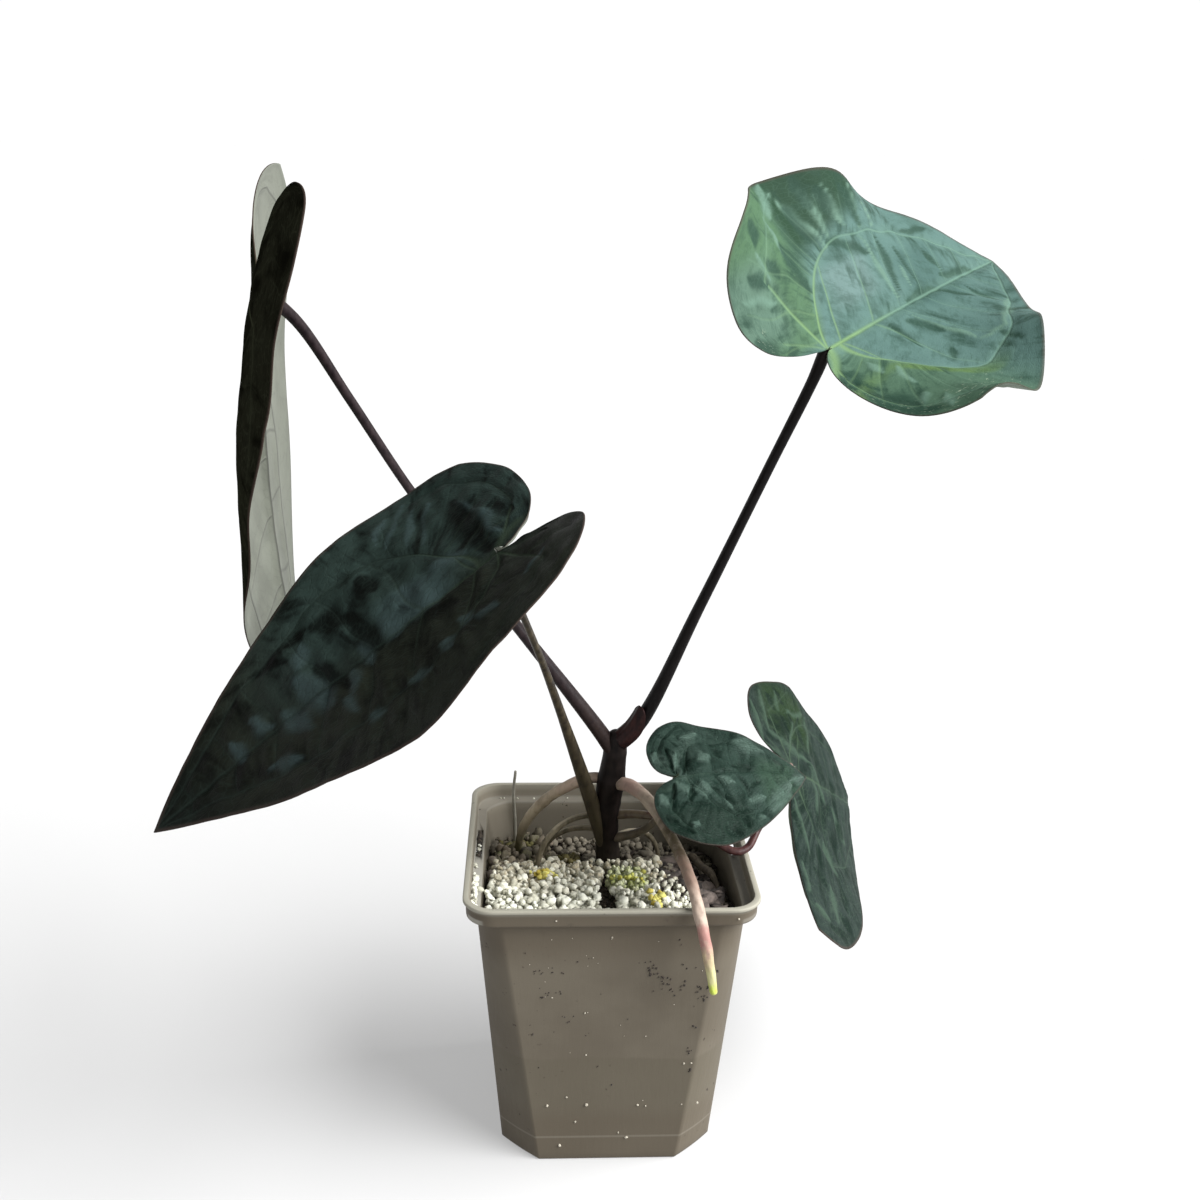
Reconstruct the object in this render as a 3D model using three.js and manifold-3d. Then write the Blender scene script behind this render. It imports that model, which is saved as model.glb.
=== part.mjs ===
// Potted ace of spades anthurium: a square nursery pot filled with a loose mix, a short stem with aerial
// roots, and five heart shaped leaves on long petioles. Millimetres, +Z up, the viewer's side is -Y.
// The origin is the middle of the pot's flat base.

import * as THREE from 'three';
import { mergeVertices } from 'three/addons/utils/BufferGeometryUtils.js';
import Module from 'manifold-3d';

const wasm = await Module();
wasm.setup();

// Driving dimensions

const GAP = 0.3;                 // clearance between pieces that touch

const POT = {
  height: 107,
  baseHalf: 37.6,                // half width at the base
  underCollarHalf: 45.5,         // half width just under the collar
  rimHalf: 50,                   // half width over the lip
  collarHalf: 49.2,
  collarHeight: 6.7,
  lipHeight: 1.4,
  wall: 1.3,
  baseCorner: 13.2,              // how far the corner's chamfer reaches along a side at the base
  topCorner: 8.4,                // the same under the collar, where the corner is round
  rimCorner: 10.5,
  baseRoundness: 0.25,           // 0 is a flat chamfer, 1 a full arc
  slotLength: 21,
  slotWidth: 2,
  slotY: 9.3,
  drainRadius: 3.5,
  drainOffset: 25,
  floor: 1.8,
};
const UNDER_COLLAR = POT.height - POT.collarHeight;
const LEDGE_TOP = UNDER_COLLAR + POT.wall;
const WAIST = UNDER_COLLAR / 2;

const MIX = {
  backHeight: 85,                // surface of the mix at the back wall
  frontHeight: 96.5,             // and at the front wall
  rightDip: 5,                   // how much lower the right corner lies
  lump: 0.8,                     // height of the surface's lumps
};
const DUST = 1.2;                // depth of the fine dust that the grains lie in
const BARK = {
  chip: [13, 10, 2.6],           // smallest length, width and thickness of a chip
  more: [4, 3, 1],               // how much more the largest has
  from: [23, -20],               // the first chip's place, and the last place that one may have
  to: [36, 36],
  pitch: [9, 11],
  tilt: 0.25,
};

const STEM = {
  route: [[2.5, 14, 70], [1.2, 12, 92], [0.2, 9, 114], [1.8, 6.5, 131], [3.2, 5, 145]],
  radii: [3.8, 4.2, 4.1, 4.6, 3.4],
};

const BLADE_THICKNESS = 0.8;
const WAVES = 2.2;               // waves of the margin along one blade
const WIDEST = 0.385;            // half width of the flat outline, in blade lengths

// Half of the flat outline in blade lengths, from the petiole round the hind lobe to the tip
const HALF_OUTLINE = [
  [0, 0], [-0.10, 0.022], [-0.18, 0.065], [-0.215, 0.145], [-0.17, 0.265], [-0.03, 0.355],
  [0.13, 0.385], [0.35, 0.335], [0.60, 0.22], [0.80, 0.11], [0.93, 0.04], [1, 0],
];

// Each blade: foot is where the petiole meets it; turn is the angle about the view axis, about the vertical
// and about the midrib; pairs are left half and right half, seen from the foot with the upper face up; arch is
// the midrib's bend ahead of and behind the foot. Angles in radians, over one blade length where they are bends.
const LEAVES = {
  upper_right: {
    foot: [66, -15.3, 285.9], turn: [0.22, 0.83, -0.72], length: 145.5, width: [1.03, 1.05],
    lobe: [0.99, 0.31], arch: [0.28, 0.95], fold: [0.25, 0.24], curl: [-0.05, 1.73], twist: -0.3,
    wave: [0.042, 0.05], phase: [-3.04, 1.19], colour: 0x4f7a5e, columns: 24, rows: 7,
  },
  far_left: {
    foot: [-102.7, -59.7, 307.5], turn: [-2.07, -1.21, 1.04], length: 167.8, width: [1.03, 1.14],
    lobe: [1.75, 0.17], arch: [0.5, 1.74], fold: [-0.59, 1.02], curl: [-1.44, -1.24], twist: 0.19,
    wave: [0.01, -0.01], phase: [-0.43, 0.09], colour: 0x2c2f22, columns: 24, rows: 7,
  },
  front_left: {
    foot: [-36.4, -87.1, 239.6], turn: [3.8, 0.04, 1.14], length: 130.3, width: [1.04, 1.09],
    lobe: [0.97, 0.56], arch: [0.09, 0.21], fold: [0.3, -0.11], curl: [0.02, 0.02], twist: -0.52,
    wave: [0.012, 0.014], phase: [0.6, 2.2], colour: 0x1d2b2a, columns: 24, rows: 7,
  },
  front_right: {
    foot: [20.4, -41.7, 151.2], turn: [0, 0.32, -0.77], length: 62.3, width: [0.9, 1.06],
    lobe: [0.54, 0.81], arch: [0.75, 0.09], fold: [-0.33, 0.11], curl: [0.02, 0.02], twist: 0.16,
    wave: [0.02, 0.02], phase: [0.3, 1.5], colour: 0x2b4a3a, columns: 18, rows: 5,
  },
  hanging_right: {
    foot: [67.4, 10, 130.7], turn: [-0.6, 0.77, 0.15], length: 116.2, width: [0.84, 1.43],
    lobe: [1.09, 0.05], arch: [0.64, 0], fold: [-0.8, 0.53], curl: [-0.11, 0.85], twist: 0,
    wave: [0.008, 0.008], phase: [0.2, 1.4], colour: 0x2f4d3c, columns: 22, rows: 6,
  },
};

// Petioles run from the stem's axis to just under their blade's foot; radii in order along the route
const PETIOLES = {
  upper_right: {
    route: [[3.2, 5, 143], [11.1, 3, 152], [30.1, -3, 197], [50.4, -10, 247.3], [62.5, -14, 277]],
    radii: [3.0, 2.4, 2.0, 1.8, 1.8, 2.0], colour: 0x14100f,
  },
  far_left: {
    route: [[3, 5.5, 138], [-4, 4.5, 149], [-31.2, -2, 187.9], [-49.3, -8, 213.8], [-66.1, -16, 240.1],
      [-82.4, -30, 271.5], [-94.3, -48, 297]],
    radii: [3.0, 2.2, 1.7, 1.5, 1.5, 1.8], colour: 0x2a1c1f,
  },
  front_left: {
    route: [[0, 10.5, 100], [-6.2, 4, 122], [-13.9, -10, 150.7], [-22.8, -35, 185.7], [-33, -74, 226]],
    radii: [3.2, 2.5, 1.6, 1.2, 1.1, 1.3], colour: 0x2a2320,
  },
  front_right: {
    route: [[0.5, 10.5, 103], [5.5, 7, 105], [12, 2, 109.5], [16.9, -14, 122.9], [19.8, -30, 140.3]],
    radii: [1.8, 1.5, 1.3, 1.2, 1.2], colour: 0x7b6355,
  },
  hanging_right: {
    route: [[0.5, 10, 111.5], [6, 8, 113.5], [15.5, 2, 115.8], [32.4, -9, 114.9], [44.3, -15, 110.2],
      [49, -13.5, 111], [53, -9, 116], [60, 0, 124]],
    radii: [1.8, 1.5, 1.4, 1.4, 1.4, 1.5, 1.6], colour: 0x6b3634,
  },
};

// Aerial roots start on the stem's axis; those that end in the mix stand in holes of their own
const ROOTS = {
  over_rim: {
    route: [[2, 6.5, 127], [8, 0, 128.5], [14.1, -10, 127], [20.8, -26, 121], [25.6, -42, 114.3],
      [27.8, -52.8, 107.6], [30.1, -57.5, 97.1], [32.6, -60.5, 83]],
    radii: [2.3, 2.4, 2.2, 2, 2, 2, 1.9, 1.2], colour: 0xb98f80,
  },
  left_thick: {
    route: [[1, 7, 128], [-5, 8.5, 128], [-13.2, 10, 124.4], [-22.2, 14, 116.5], [-30, 21, 102.5],
      [-33.5, 26, 84]],
    radii: [2, 2.1, 2, 1.9, 1.5, 1], colour: 0xa18672,
  },
  left_upper: {
    route: [[0.5, 9, 113], [-6, 7.5, 113.6], [-14, 6, 112], [-22.3, 3, 105], [-26.5, 1, 88]],
    radii: [1.1, 1.1, 1.1, 1, 0.8], colour: 0x8d7a68,
  },
  left_lower: {
    route: [[0.5, 10, 106], [-7, 9.5, 107.5], [-15, 11, 105.5], [-21.5, 13, 99], [-23, 14, 83]],
    radii: [1, 1, 1, 0.9, 0.7], colour: 0x84715f,
  },
  right_lower: {
    route: [[1, 12, 101], [8, 14, 103.5], [14.5, 15.5, 102.5], [19, 16.5, 97], [21, 17, 82]],
    radii: [1, 1, 0.9, 0.8, 0.7], colour: 0x84715f,
  },
  thread: {
    route: [[-33.4, 33, 80], [-33.6, 32, 101], [-34, 30, 112], [-33.2, 27, 122]],
    radii: [0.7, 0.7, 0.6, 0.5], colour: 0xb6ab98,
  },
};

// The sheath runs along a share of its petiole's length and wraps the side that faces front
const SHEATH = {
  from: 0.012,
  to: 0.125,
  inner: 3.1,                    // inside radius at its foot
  flare: 0.5,                    // how much wider it is at its tip
  thickness: 0.7,
  halfWrap: 1.75,                // how far it reaches round the petiole each way, in radians
  front: [-0.75, -0.6, 0.25],
};

const SEED = 7;

// Closed geometries and booleans

function makeRandom(seed) {
  let state = seed;
  return () => {
    state = (state * 1664525 + 1013904223) % 4294967296;
    return state / 4294967296;
  };
}

function geometryFrom(points, triangles) {
  const geometry = new THREE.BufferGeometry();
  const numbers = points.flatMap((p) => [p.x, p.y, p.z]);
  geometry.setAttribute('position', new THREE.Float32BufferAttribute(numbers, 3));
  geometry.setIndex(triangles.flat());
  return geometry;
}

function toManifold(source) {
  const geometry = source.clone();
  geometry.deleteAttribute('normal');
  geometry.deleteAttribute('uv');
  const merged = mergeVertices(geometry, 1e-4);
  return new wasm.Manifold(new wasm.Mesh({
    numProp: 3,
    vertProperties: new Float32Array(merged.attributes.position.array),
    triVerts: new Uint32Array(merged.index.array),
  }));
}

function fromManifold(solid) {
  const mesh = solid.getMesh();
  const geometry = new THREE.BufferGeometry();
  geometry.setAttribute('position', new THREE.BufferAttribute(new Float32Array(mesh.vertProperties), 3));
  geometry.setIndex(new THREE.BufferAttribute(new Uint32Array(mesh.triVerts), 1));
  return geometry;
}

function unite(solids) {
  return solids.reduce((sum, solid) => sum.add(solid));
}

// The largest of the separate bodies that a cut leaves
function largest(solid) {
  return solid.decompose().reduce((a, b) => (b.volume() > a.volume() ? b : a));
}

// Lofts and tubes

// A square ring with its corners cut: half width, reach of the corner along a side, 0 chamfer to 1 arc
function squareRing(half, corner, roundness, z) {
  const stepsPerCorner = 4;
  const ring = [];
  for (let quarter = 0; quarter < 4; quarter += 1) {
    for (let i = 0; i <= stepsPerCorner; i += 1) {
      const t = i / stepsPerCorner;
      const angle = t * Math.PI / 2;
      const arc = new THREE.Vector2(Math.cos(angle), Math.sin(angle));
      const chord = new THREE.Vector2(1 - t, t);
      const point = chord.lerp(arc, roundness).multiplyScalar(corner).addScalar(half - corner);
      point.rotateAround(new THREE.Vector2(), quarter * Math.PI / 2);
      ring.push(new THREE.Vector3(point.x, point.y, z));
    }
  }
  return ring;
}

// A closed solid through rings of equal length, each end closed by a fan about its middle
function loft(rings) {
  const size = rings[0].length;
  const points = rings.flat();
  const triangles = [];
  for (let r = 0; r < rings.length - 1; r += 1) {
    for (let i = 0; i < size; i += 1) {
      const a = r * size + i;
      const b = r * size + (i + 1) % size;
      triangles.push([a, b, b + size], [a, b + size, a + size]);
    }
  }
  const middle = (ring) => ring.reduce((sum, p) => sum.add(p), new THREE.Vector3()).divideScalar(size);
  const first = points.push(middle(rings[0])) - 1;
  const last = points.push(middle(rings.at(-1))) - 1;
  const top = (rings.length - 1) * size;
  for (let i = 0; i < size; i += 1) {
    const j = (i + 1) % size;
    triangles.push([first, j, i], [last, top + i, top + j]);
  }
  return geometryFrom(points, triangles);
}

function vectors(list) {
  return list.map((p) => new THREE.Vector3(...p));
}

// A round tube along a smooth route, its radius eased between the given ones
function taperedTube(route, radii, sides = 8, steps = route.length * 3, grow = 0) {
  const curve = new THREE.CatmullRomCurve3(vectors(route));
  const frames = curve.computeFrenetFrames(steps);
  const rings = [];
  for (let s = 0; s <= steps; s += 1) {
    const place = s / steps * (radii.length - 1);
    const i = Math.min(Math.floor(place), radii.length - 2);
    const radius = THREE.MathUtils.lerp(radii[i], radii[i + 1], place - i) + grow;
    const centre = curve.getPointAt(s / steps);
    if (grow > 0 && (s === 0 || s === steps)) {
      centre.addScaledVector(frames.tangents[s], s === 0 ? -grow : grow);
    }
    const ring = [];
    for (let k = 0; k < sides; k += 1) {
      const angle = k / sides * 2 * Math.PI;
      ring.push(centre.clone()
        .addScaledVector(frames.normals[s], radius * Math.cos(angle))
        .addScaledVector(frames.binormals[s], radius * Math.sin(angle)));
    }
    rings.push(ring);
  }
  return loft(rings);
}

// The pot

function potHalfAt(z) {
  return THREE.MathUtils.lerp(POT.baseHalf, POT.underCollarHalf, z / UNDER_COLLAR);
}

function potCornerAt(z) {
  return THREE.MathUtils.lerp(POT.baseCorner, POT.topCorner, z / UNDER_COLLAR);
}

function potRoundnessAt(z) {
  return THREE.MathUtils.lerp(POT.baseRoundness, 1, z / UNDER_COLLAR);
}

// A ring on the body's wall, inset from its outer face
function wallRing(z, inset) {
  return squareRing(potHalfAt(z) - inset, potCornerAt(z) - inset / 2, potRoundnessAt(z), z);
}

// A ring on the collar or the lip, whose corners turn about one middle
function rimRing(half, z) {
  return squareRing(half, POT.rimCorner - (POT.rimHalf - half) / 2, 1, z);
}

// The moulded shell: up the outer wall, over collar and lip, down the inside past the ledge to the floor
function pot() {
  const lip = POT.height - POT.lipHeight;
  const edge = 0.3;
  const foot = 0.8;
  const shell = toManifold(loft([
    wallRing(0, foot),
    wallRing(foot, 0),
    wallRing(WAIST, 0),
    wallRing(UNDER_COLLAR, 0),
    rimRing(POT.collarHalf - edge, UNDER_COLLAR),
    rimRing(POT.collarHalf, lip),
    rimRing(POT.rimHalf, lip + edge),
    rimRing(POT.rimHalf, POT.height - edge),
    rimRing(POT.rimHalf - edge, POT.height),
    rimRing(POT.collarHalf - POT.wall + edge, POT.height),
    rimRing(POT.collarHalf - POT.wall, POT.height - edge),
    rimRing(POT.collarHalf - POT.wall - edge, LEDGE_TOP),
    wallRing(LEDGE_TOP, POT.wall),
    wallRing(WAIST, POT.wall),
    wallRing(POT.floor, POT.wall),
  ]));
  const ledgeMiddle = (potHalfAt(LEDGE_TOP) - POT.wall + POT.collarHalf - POT.wall) / 2;
  const slots = [-1, 1].map((side) => {
    const box = new THREE.BoxGeometry(POT.slotWidth, POT.slotLength, 4 * POT.wall);
    return toManifold(box.translate(side * ledgeMiddle, POT.slotY, LEDGE_TOP - POT.wall / 2));
  });
  const drains = [0, 1, 2, 3].map((i) => {
    const hole = new THREE.CylinderGeometry(POT.drainRadius, POT.drainRadius, 4 * POT.floor, 16);
    hole.rotateX(Math.PI / 2).translate(POT.drainOffset, 0, 0).rotateZ(i * Math.PI / 2);
    return toManifold(hole);
  });
  return fromManifold(shell.subtract(unite([...slots, ...drains])));
}

// The mix and what lies on it

// Height of the mix: it rises from the back to the front, dips towards the right, and has small lumps
function mixHeight(x, y) {
  const half = potHalfAt(MIX.backHeight);
  const forward = THREE.MathUtils.smoothstep(-y, -half, half * 0.7);
  const right = THREE.MathUtils.smoothstep(x, 0.2 * half, half) * THREE.MathUtils.smoothstep(y, -half, 0);
  const slope = THREE.MathUtils.lerp(MIX.backHeight, MIX.frontHeight, forward) - MIX.rightDip * right;
  const lumps = Math.sin(0.71 * x + 1.3 * Math.sin(0.33 * y)) * Math.cos(0.64 * y + 0.9 * Math.sin(0.41 * x));
  return slope + MIX.lump * lumps;
}

// The mix up to its surface, raised by grow; its sides run into the pot's wall, to be cut to the room inside
function mixBody(grow) {
  const inset = POT.wall / 2;
  const edgeRing = wallRing(MIX.backHeight, inset).map((p) => {
    const height = mixHeight(p.x, p.y) + grow;
    const spread = (potHalfAt(height) - inset) / (potHalfAt(MIX.backHeight) - inset);
    return new THREE.Vector3(p.x * spread, p.y * spread, height);
  });
  const rings = [wallRing(POT.floor + GAP, inset), wallRing(WAIST, inset), edgeRing];
  const innerRings = 7;
  for (let r = innerRings - 1; r > 0; r -= 1) {
    rings.push(edgeRing.map((p) => {
      const x = p.x * r / innerRings;
      const y = p.y * r / innerRings;
      return new THREE.Vector3(x, y, mixHeight(x, y) + grow);
    }));
  }
  return toManifold(loft(rings));
}

// Where each kind of grain lies: bark in the right corner, mossy grains before the stem, grey lumps at the
// back left, and white ones over the rest of the front
const inBark = (x, y) => x > 15 && y > -28 && x - y / 3 > 17;
const inMoss = (x, y) => Math.hypot(x - 8, (y + 3) * 0.8) < 9;
const inGrey = (x, y) => x < -20 && y > 6 && y - x / 3 > 16;
const inWhite = (x, y) => y < 10 && !inBark(x, y) && !inMoss(x, y) && !inGrey(x, y);
const BEDS = {
  pumice_grains: { spacing: 10, radius: 5.3, squash: 0.25, wanted: inWhite, seed: SEED, colour: 0xd9d6cc },
  mossy_grains: { spacing: 6.4, radius: 3.6, squash: 0.2, wanted: inMoss, seed: SEED + 1, colour: 0xa3a878 },
  grey_pumice: { spacing: 10, radius: 5.4, squash: 0.3, wanted: inGrey, seed: SEED + 2, colour: 0x8d877b },
};

// The middle of each cell of a jittered triangular lattice over the pot, where the test says so
function latticeSpots(spacing, wanted, random) {
  const reach = POT.collarHalf;
  const rowStep = spacing * Math.sqrt(3) / 2;
  const spots = [];
  let row = 0;
  for (let y = -reach; y <= reach; y += rowStep) {
    row += 1;
    for (let x = -reach + (row % 2) * spacing / 2; x <= reach; x += spacing) {
      const jitter = () => (random() - 0.5) * spacing * 0.3;
      const spot = { cellX: x, cellY: y, x: x + jitter(), y: y + jitter() };
      if (wanted(x, y)) spots.push(spot);
    }
  }
  return spots;
}

// Rough grains that sit in a thin layer of dust, joined into one body; grow fattens both
function grainBed({ spacing, radius, squash, wanted, seed }, grow = 0) {
  const random = makeRandom(seed);
  const dust = mixBody(DUST + grow);
  const cells = [];
  const grains = [];
  const cellReach = spacing * 0.6 + grow;
  const bury = 0.35;
  for (const spot of latticeSpots(spacing, wanted, random)) {
    const size = radius * (0.88 + 0.3 * random());
    const turn = new THREE.Euler(random() * 6, random() * 6, random() * 6);
    const shape = new THREE.Vector3(1, 1 - squash * random(), 1 - squash * random());
    const grain = new THREE.IcosahedronGeometry(size + grow, 0);
    grain.scale(shape.x, shape.y, shape.z);
    grain.applyMatrix4(new THREE.Matrix4().makeRotationFromEuler(turn));
    grains.push(toManifold(grain.translate(spot.x, spot.y, mixHeight(spot.x, spot.y) + size * bury)));
    const cell = new THREE.CylinderGeometry(cellReach, cellReach, POT.height, 6);
    cells.push(toManifold(cell.rotateX(Math.PI / 2).translate(spot.cellX, spot.cellY, POT.height)));
  }
  return wasm.Manifold.union(grains).add(dust.intersect(wasm.Manifold.union(cells)));
}

// Flat chips of bark that lie over each other, joined into one body
function barkBed(seed, grow = 0) {
  const random = makeRandom(seed);
  const chips = [];
  const tilt = () => (random() * 2 - 1) * BARK.tilt;
  for (let y = BARK.from[1]; y <= BARK.to[1]; y += BARK.pitch[1]) {
    for (let x = BARK.from[0]; x <= BARK.to[0]; x += BARK.pitch[0]) {
      const size = BARK.chip.map((least, i) => least + BARK.more[i] * random() + 2 * grow);
      const chip = new THREE.BoxGeometry(...size);
      chip.rotateX(tilt()).rotateY(tilt()).rotateZ(random() * Math.PI);
      chip.translate(x + random(), y + random(), mixHeight(x, y) + DUST);
      chips.push(toManifold(chip));
    }
  }
  return wasm.Manifold.union(chips);
}

// What the pot's inside leaves free, so that nothing laid on the mix cuts the wall or the ledge
function potRoom() {
  const inner = POT.wall + 2 * GAP;
  const room = loft([wallRing(POT.floor + GAP, inner), wallRing(WAIST, inner), wallRing(LEDGE_TOP, inner)]);
  const collarHalf = POT.collarHalf - POT.wall - 0.3 - GAP;
  const above = [LEDGE_TOP + GAP, POT.height + 20];
  const collar = loft(above.map((z) => squareRing(collarHalf, POT.rimCorner - 1, 1, z)));
  const throat = loft([wallRing(LEDGE_TOP - 1, inner), wallRing(LEDGE_TOP + 1, inner)]);
  return unite([toManifold(room), toManifold(throat), toManifold(collar)]);
}

// Thin sheets

// A closed thin solid: its points are one face's and then the other's, face holds the first face's triangles,
// and a wall along border joins the two
function closedSheet(points, face, border) {
  const count = points.length / 2;
  const triangles = [...face, ...face.map(([a, b, c]) => [a + count, c + count, b + count])];
  border.forEach((a, i) => {
    const b = border[(i + 1) % border.length];
    triangles.push([a, b, b + count], [a, b + count, a + count]);
  });
  return geometryFrom(points, triangles);
}

// Leaves

// Uniform Catmull-Rom through the half outline, so that a blade's edge is smooth
function halfOutline(samples) {
  const spline = new THREE.SplineCurve(HALF_OUTLINE.map((p) => new THREE.Vector2(...p)));
  return Array.from({ length: samples }, (_, i) => spline.getPoint((i + 1) / samples));
}

// The blade's own axes: midrib towards the tip, upper face, and left half
function bladeAxes([aboutView, aboutVertical, aboutMidrib]) {
  const midrib = new THREE.Vector3(1, 0, 0);
  const face = new THREE.Vector3(0, -1, 0);
  for (const axis of [midrib, face]) {
    axis.applyAxisAngle(new THREE.Vector3(0, -1, 0), aboutView);
    axis.applyAxisAngle(new THREE.Vector3(0, 0, 1), aboutVertical);
  }
  face.applyAxisAngle(midrib, aboutMidrib);
  return { midrib, face, left: new THREE.Vector3().crossVectors(face, midrib) };
}

const notZero = (value) => (Math.abs(value) < 1e-6 ? 1e-6 : value);

// Flat point (x along the midrib, y to the left) to its place on the arched, folded, curled and waved blade
function bladePoint(leaf, axes, x, y) {
  const { length } = leaf;
  const half = y >= 0 ? 0 : 1;
  const side = y >= 0 ? 1 : -1;
  const bend = notZero(leaf.arch[x > 0 ? 0 : 1]) / length;
  const angle = bend * x;
  const point = new THREE.Vector3(...leaf.foot)
    .addScaledVector(axes.midrib, Math.sin(angle) / bend)
    .addScaledVector(axes.face, -(1 - Math.cos(angle)) / bend);
  const up = axes.midrib.clone().multiplyScalar(Math.sin(angle)).addScaledVector(axes.face, Math.cos(angle));
  const turn = leaf.twist * x / length;
  const across = axes.left.clone().multiplyScalar(Math.cos(turn)).addScaledVector(up, Math.sin(turn));
  const above = up.clone().multiplyScalar(Math.cos(turn)).addScaledVector(axes.left, -Math.sin(turn));
  const fold = leaf.fold[half];
  const curl = notZero(leaf.curl[half]) / length;
  const out = Math.abs(y);
  const slope = fold + curl * out;
  point.addScaledVector(across, side * (Math.sin(slope) - Math.sin(fold)) / curl);
  point.addScaledVector(above, (Math.cos(fold) - Math.cos(slope)) / curl);
  const edge = out / (WIDEST * length * leaf.width[half]);
  const wave = leaf.wave[half] * length * edge ** 2
    * Math.sin(2 * Math.PI * WAVES * x / length + leaf.phase[half]);
  point.addScaledVector(above, wave * Math.cos(slope));
  point.addScaledVector(across, -side * wave * Math.sin(slope));
  return point;
}

// A fan of columns from the foot to the margin, thickened both ways with the same triangles on both faces
function blade(leaf, thickness = BLADE_THICKNESS) {
  const axes = bladeAxes(leaf.turn);
  const outline = halfOutline(leaf.columns);
  const margin = [
    ...outline.map((p) => [p, 0, 1]),
    ...outline.slice(0, -1).reverse().map((p) => [p, 1, -1]),
  ];
  const middle = [bladePoint(leaf, axes, 0, 0)];
  for (const [p, half, side] of margin) {
    const x = p.x * leaf.length * (p.x < 0 ? leaf.lobe[half] : 1);
    const y = p.y * leaf.length * leaf.width[half] * side;
    for (let r = 1; r <= leaf.rows; r += 1) {
      const v = (r / leaf.rows) ** 0.85;
      middle.push(bladePoint(leaf, axes, x * v, y * v));
    }
  }
  const at = (column, row) => (row === 0 ? 0 : 1 + column * leaf.rows + row - 1);
  const face = [];
  for (let c = 0; c < margin.length - 1; c += 1) {
    face.push([0, at(c + 1, 1), at(c, 1)]);
    for (let r = 1; r < leaf.rows; r += 1) {
      face.push([at(c, r), at(c + 1, r), at(c + 1, r + 1)], [at(c, r), at(c + 1, r + 1), at(c, r + 1)]);
    }
  }
  const sheet = geometryFrom(middle, face);
  sheet.computeVertexNormals();
  const normals = sheet.attributes.normal;
  const offset = (sign) => middle.map((p, i) => p.clone()
    .addScaledVector(new THREE.Vector3().fromBufferAttribute(normals, i), sign * thickness / 2));
  const border = [];
  for (let r = 0; r <= leaf.rows; r += 1) border.push(at(0, r));
  for (let c = 1; c < margin.length; c += 1) border.push(at(c, leaf.rows));
  for (let r = leaf.rows - 1; r > 0; r -= 1) border.push(at(margin.length - 1, r));
  return closedSheet([...offset(1), ...offset(-1)], face, border);
}

// The petiole's last point: under the foot, clear of the blade
function petioleEnd(name) {
  const leaf = LEAVES[name];
  const { face } = bladeAxes(leaf.turn);
  const radius = PETIOLES[name].radii.at(-1);
  const drop = BLADE_THICKNESS / 2 + GAP + radius * 0.8;
  return new THREE.Vector3(...leaf.foot).addScaledVector(face, -drop).toArray();
}

function petioleTube(name, grow = 0) {
  const { route, radii } = PETIOLES[name];
  return toManifold(taperedTube([...route, petioleEnd(name)], radii, 7, route.length * 3, grow));
}

function rootTube(name, grow = 0) {
  const { route, radii } = ROOTS[name];
  return toManifold(taperedTube(route, radii, 7, route.length * 3, grow));
}

function stemTube(grow = 0) {
  return toManifold(taperedTube(STEM.route, STEM.radii, 10, 14, grow));
}

// A papery sheath that wraps the foot of the newest petiole, pointed at the top and open at the back
function sheath() {
  const curve = new THREE.CatmullRomCurve3(vectors(PETIOLES.upper_right.route));
  const front = new THREE.Vector3(...SHEATH.front).normalize();
  const steps = 8;
  const across = 6;
  const points = [];
  for (const radius of [SHEATH.inner, SHEATH.inner + SHEATH.thickness]) {
    for (let s = 0; s <= steps; s += 1) {
      const t = s / steps;
      const place = THREE.MathUtils.lerp(SHEATH.from, SHEATH.to, t);
      const along = curve.getTangentAt(place);
      const out = front.clone().addScaledVector(along, -front.dot(along)).normalize();
      const reach = SHEATH.halfWrap * Math.sqrt(1 - 0.97 * t ** 1.5);
      for (let k = 0; k <= across; k += 1) {
        const ray = out.clone().applyAxisAngle(along, (k / across * 2 - 1) * reach);
        points.push(ray.multiplyScalar(radius + SHEATH.flare * t).add(curve.getPointAt(place)));
      }
    }
  }
  const at = (s, k) => s * (across + 1) + k;
  const face = [];
  for (let s = 0; s < steps; s += 1) {
    for (let k = 0; k < across; k += 1) {
      face.push([at(s, k), at(s + 1, k + 1), at(s, k + 1)], [at(s, k), at(s + 1, k), at(s + 1, k + 1)]);
    }
  }
  const border = [];
  for (let k = 0; k <= across; k += 1) border.push(at(0, k));
  for (let s = 1; s <= steps; s += 1) border.push(at(s, across));
  for (let k = across - 1; k >= 0; k -= 1) border.push(at(steps, k));
  for (let s = steps - 1; s > 0; s -= 1) border.push(at(s, 0));
  return toManifold(closedSheet(points, face, border));
}

// Assembly

const plant = new THREE.Group();

function place(name, geometry, colour, roughness = 0.6) {
  const material = new THREE.MeshStandardMaterial({ color: colour, roughness, metalness: 0 });
  const mesh = new THREE.Mesh(geometry, material);
  mesh.name = name;
  plant.add(mesh);
}

place('pot', pot(), 0x7d7268, 0.55);

const stem = stemTube();
const fatStem = stemTube(GAP);
place('stem', fromManifold(stem), 0x2a1d1b, 0.6);

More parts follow.
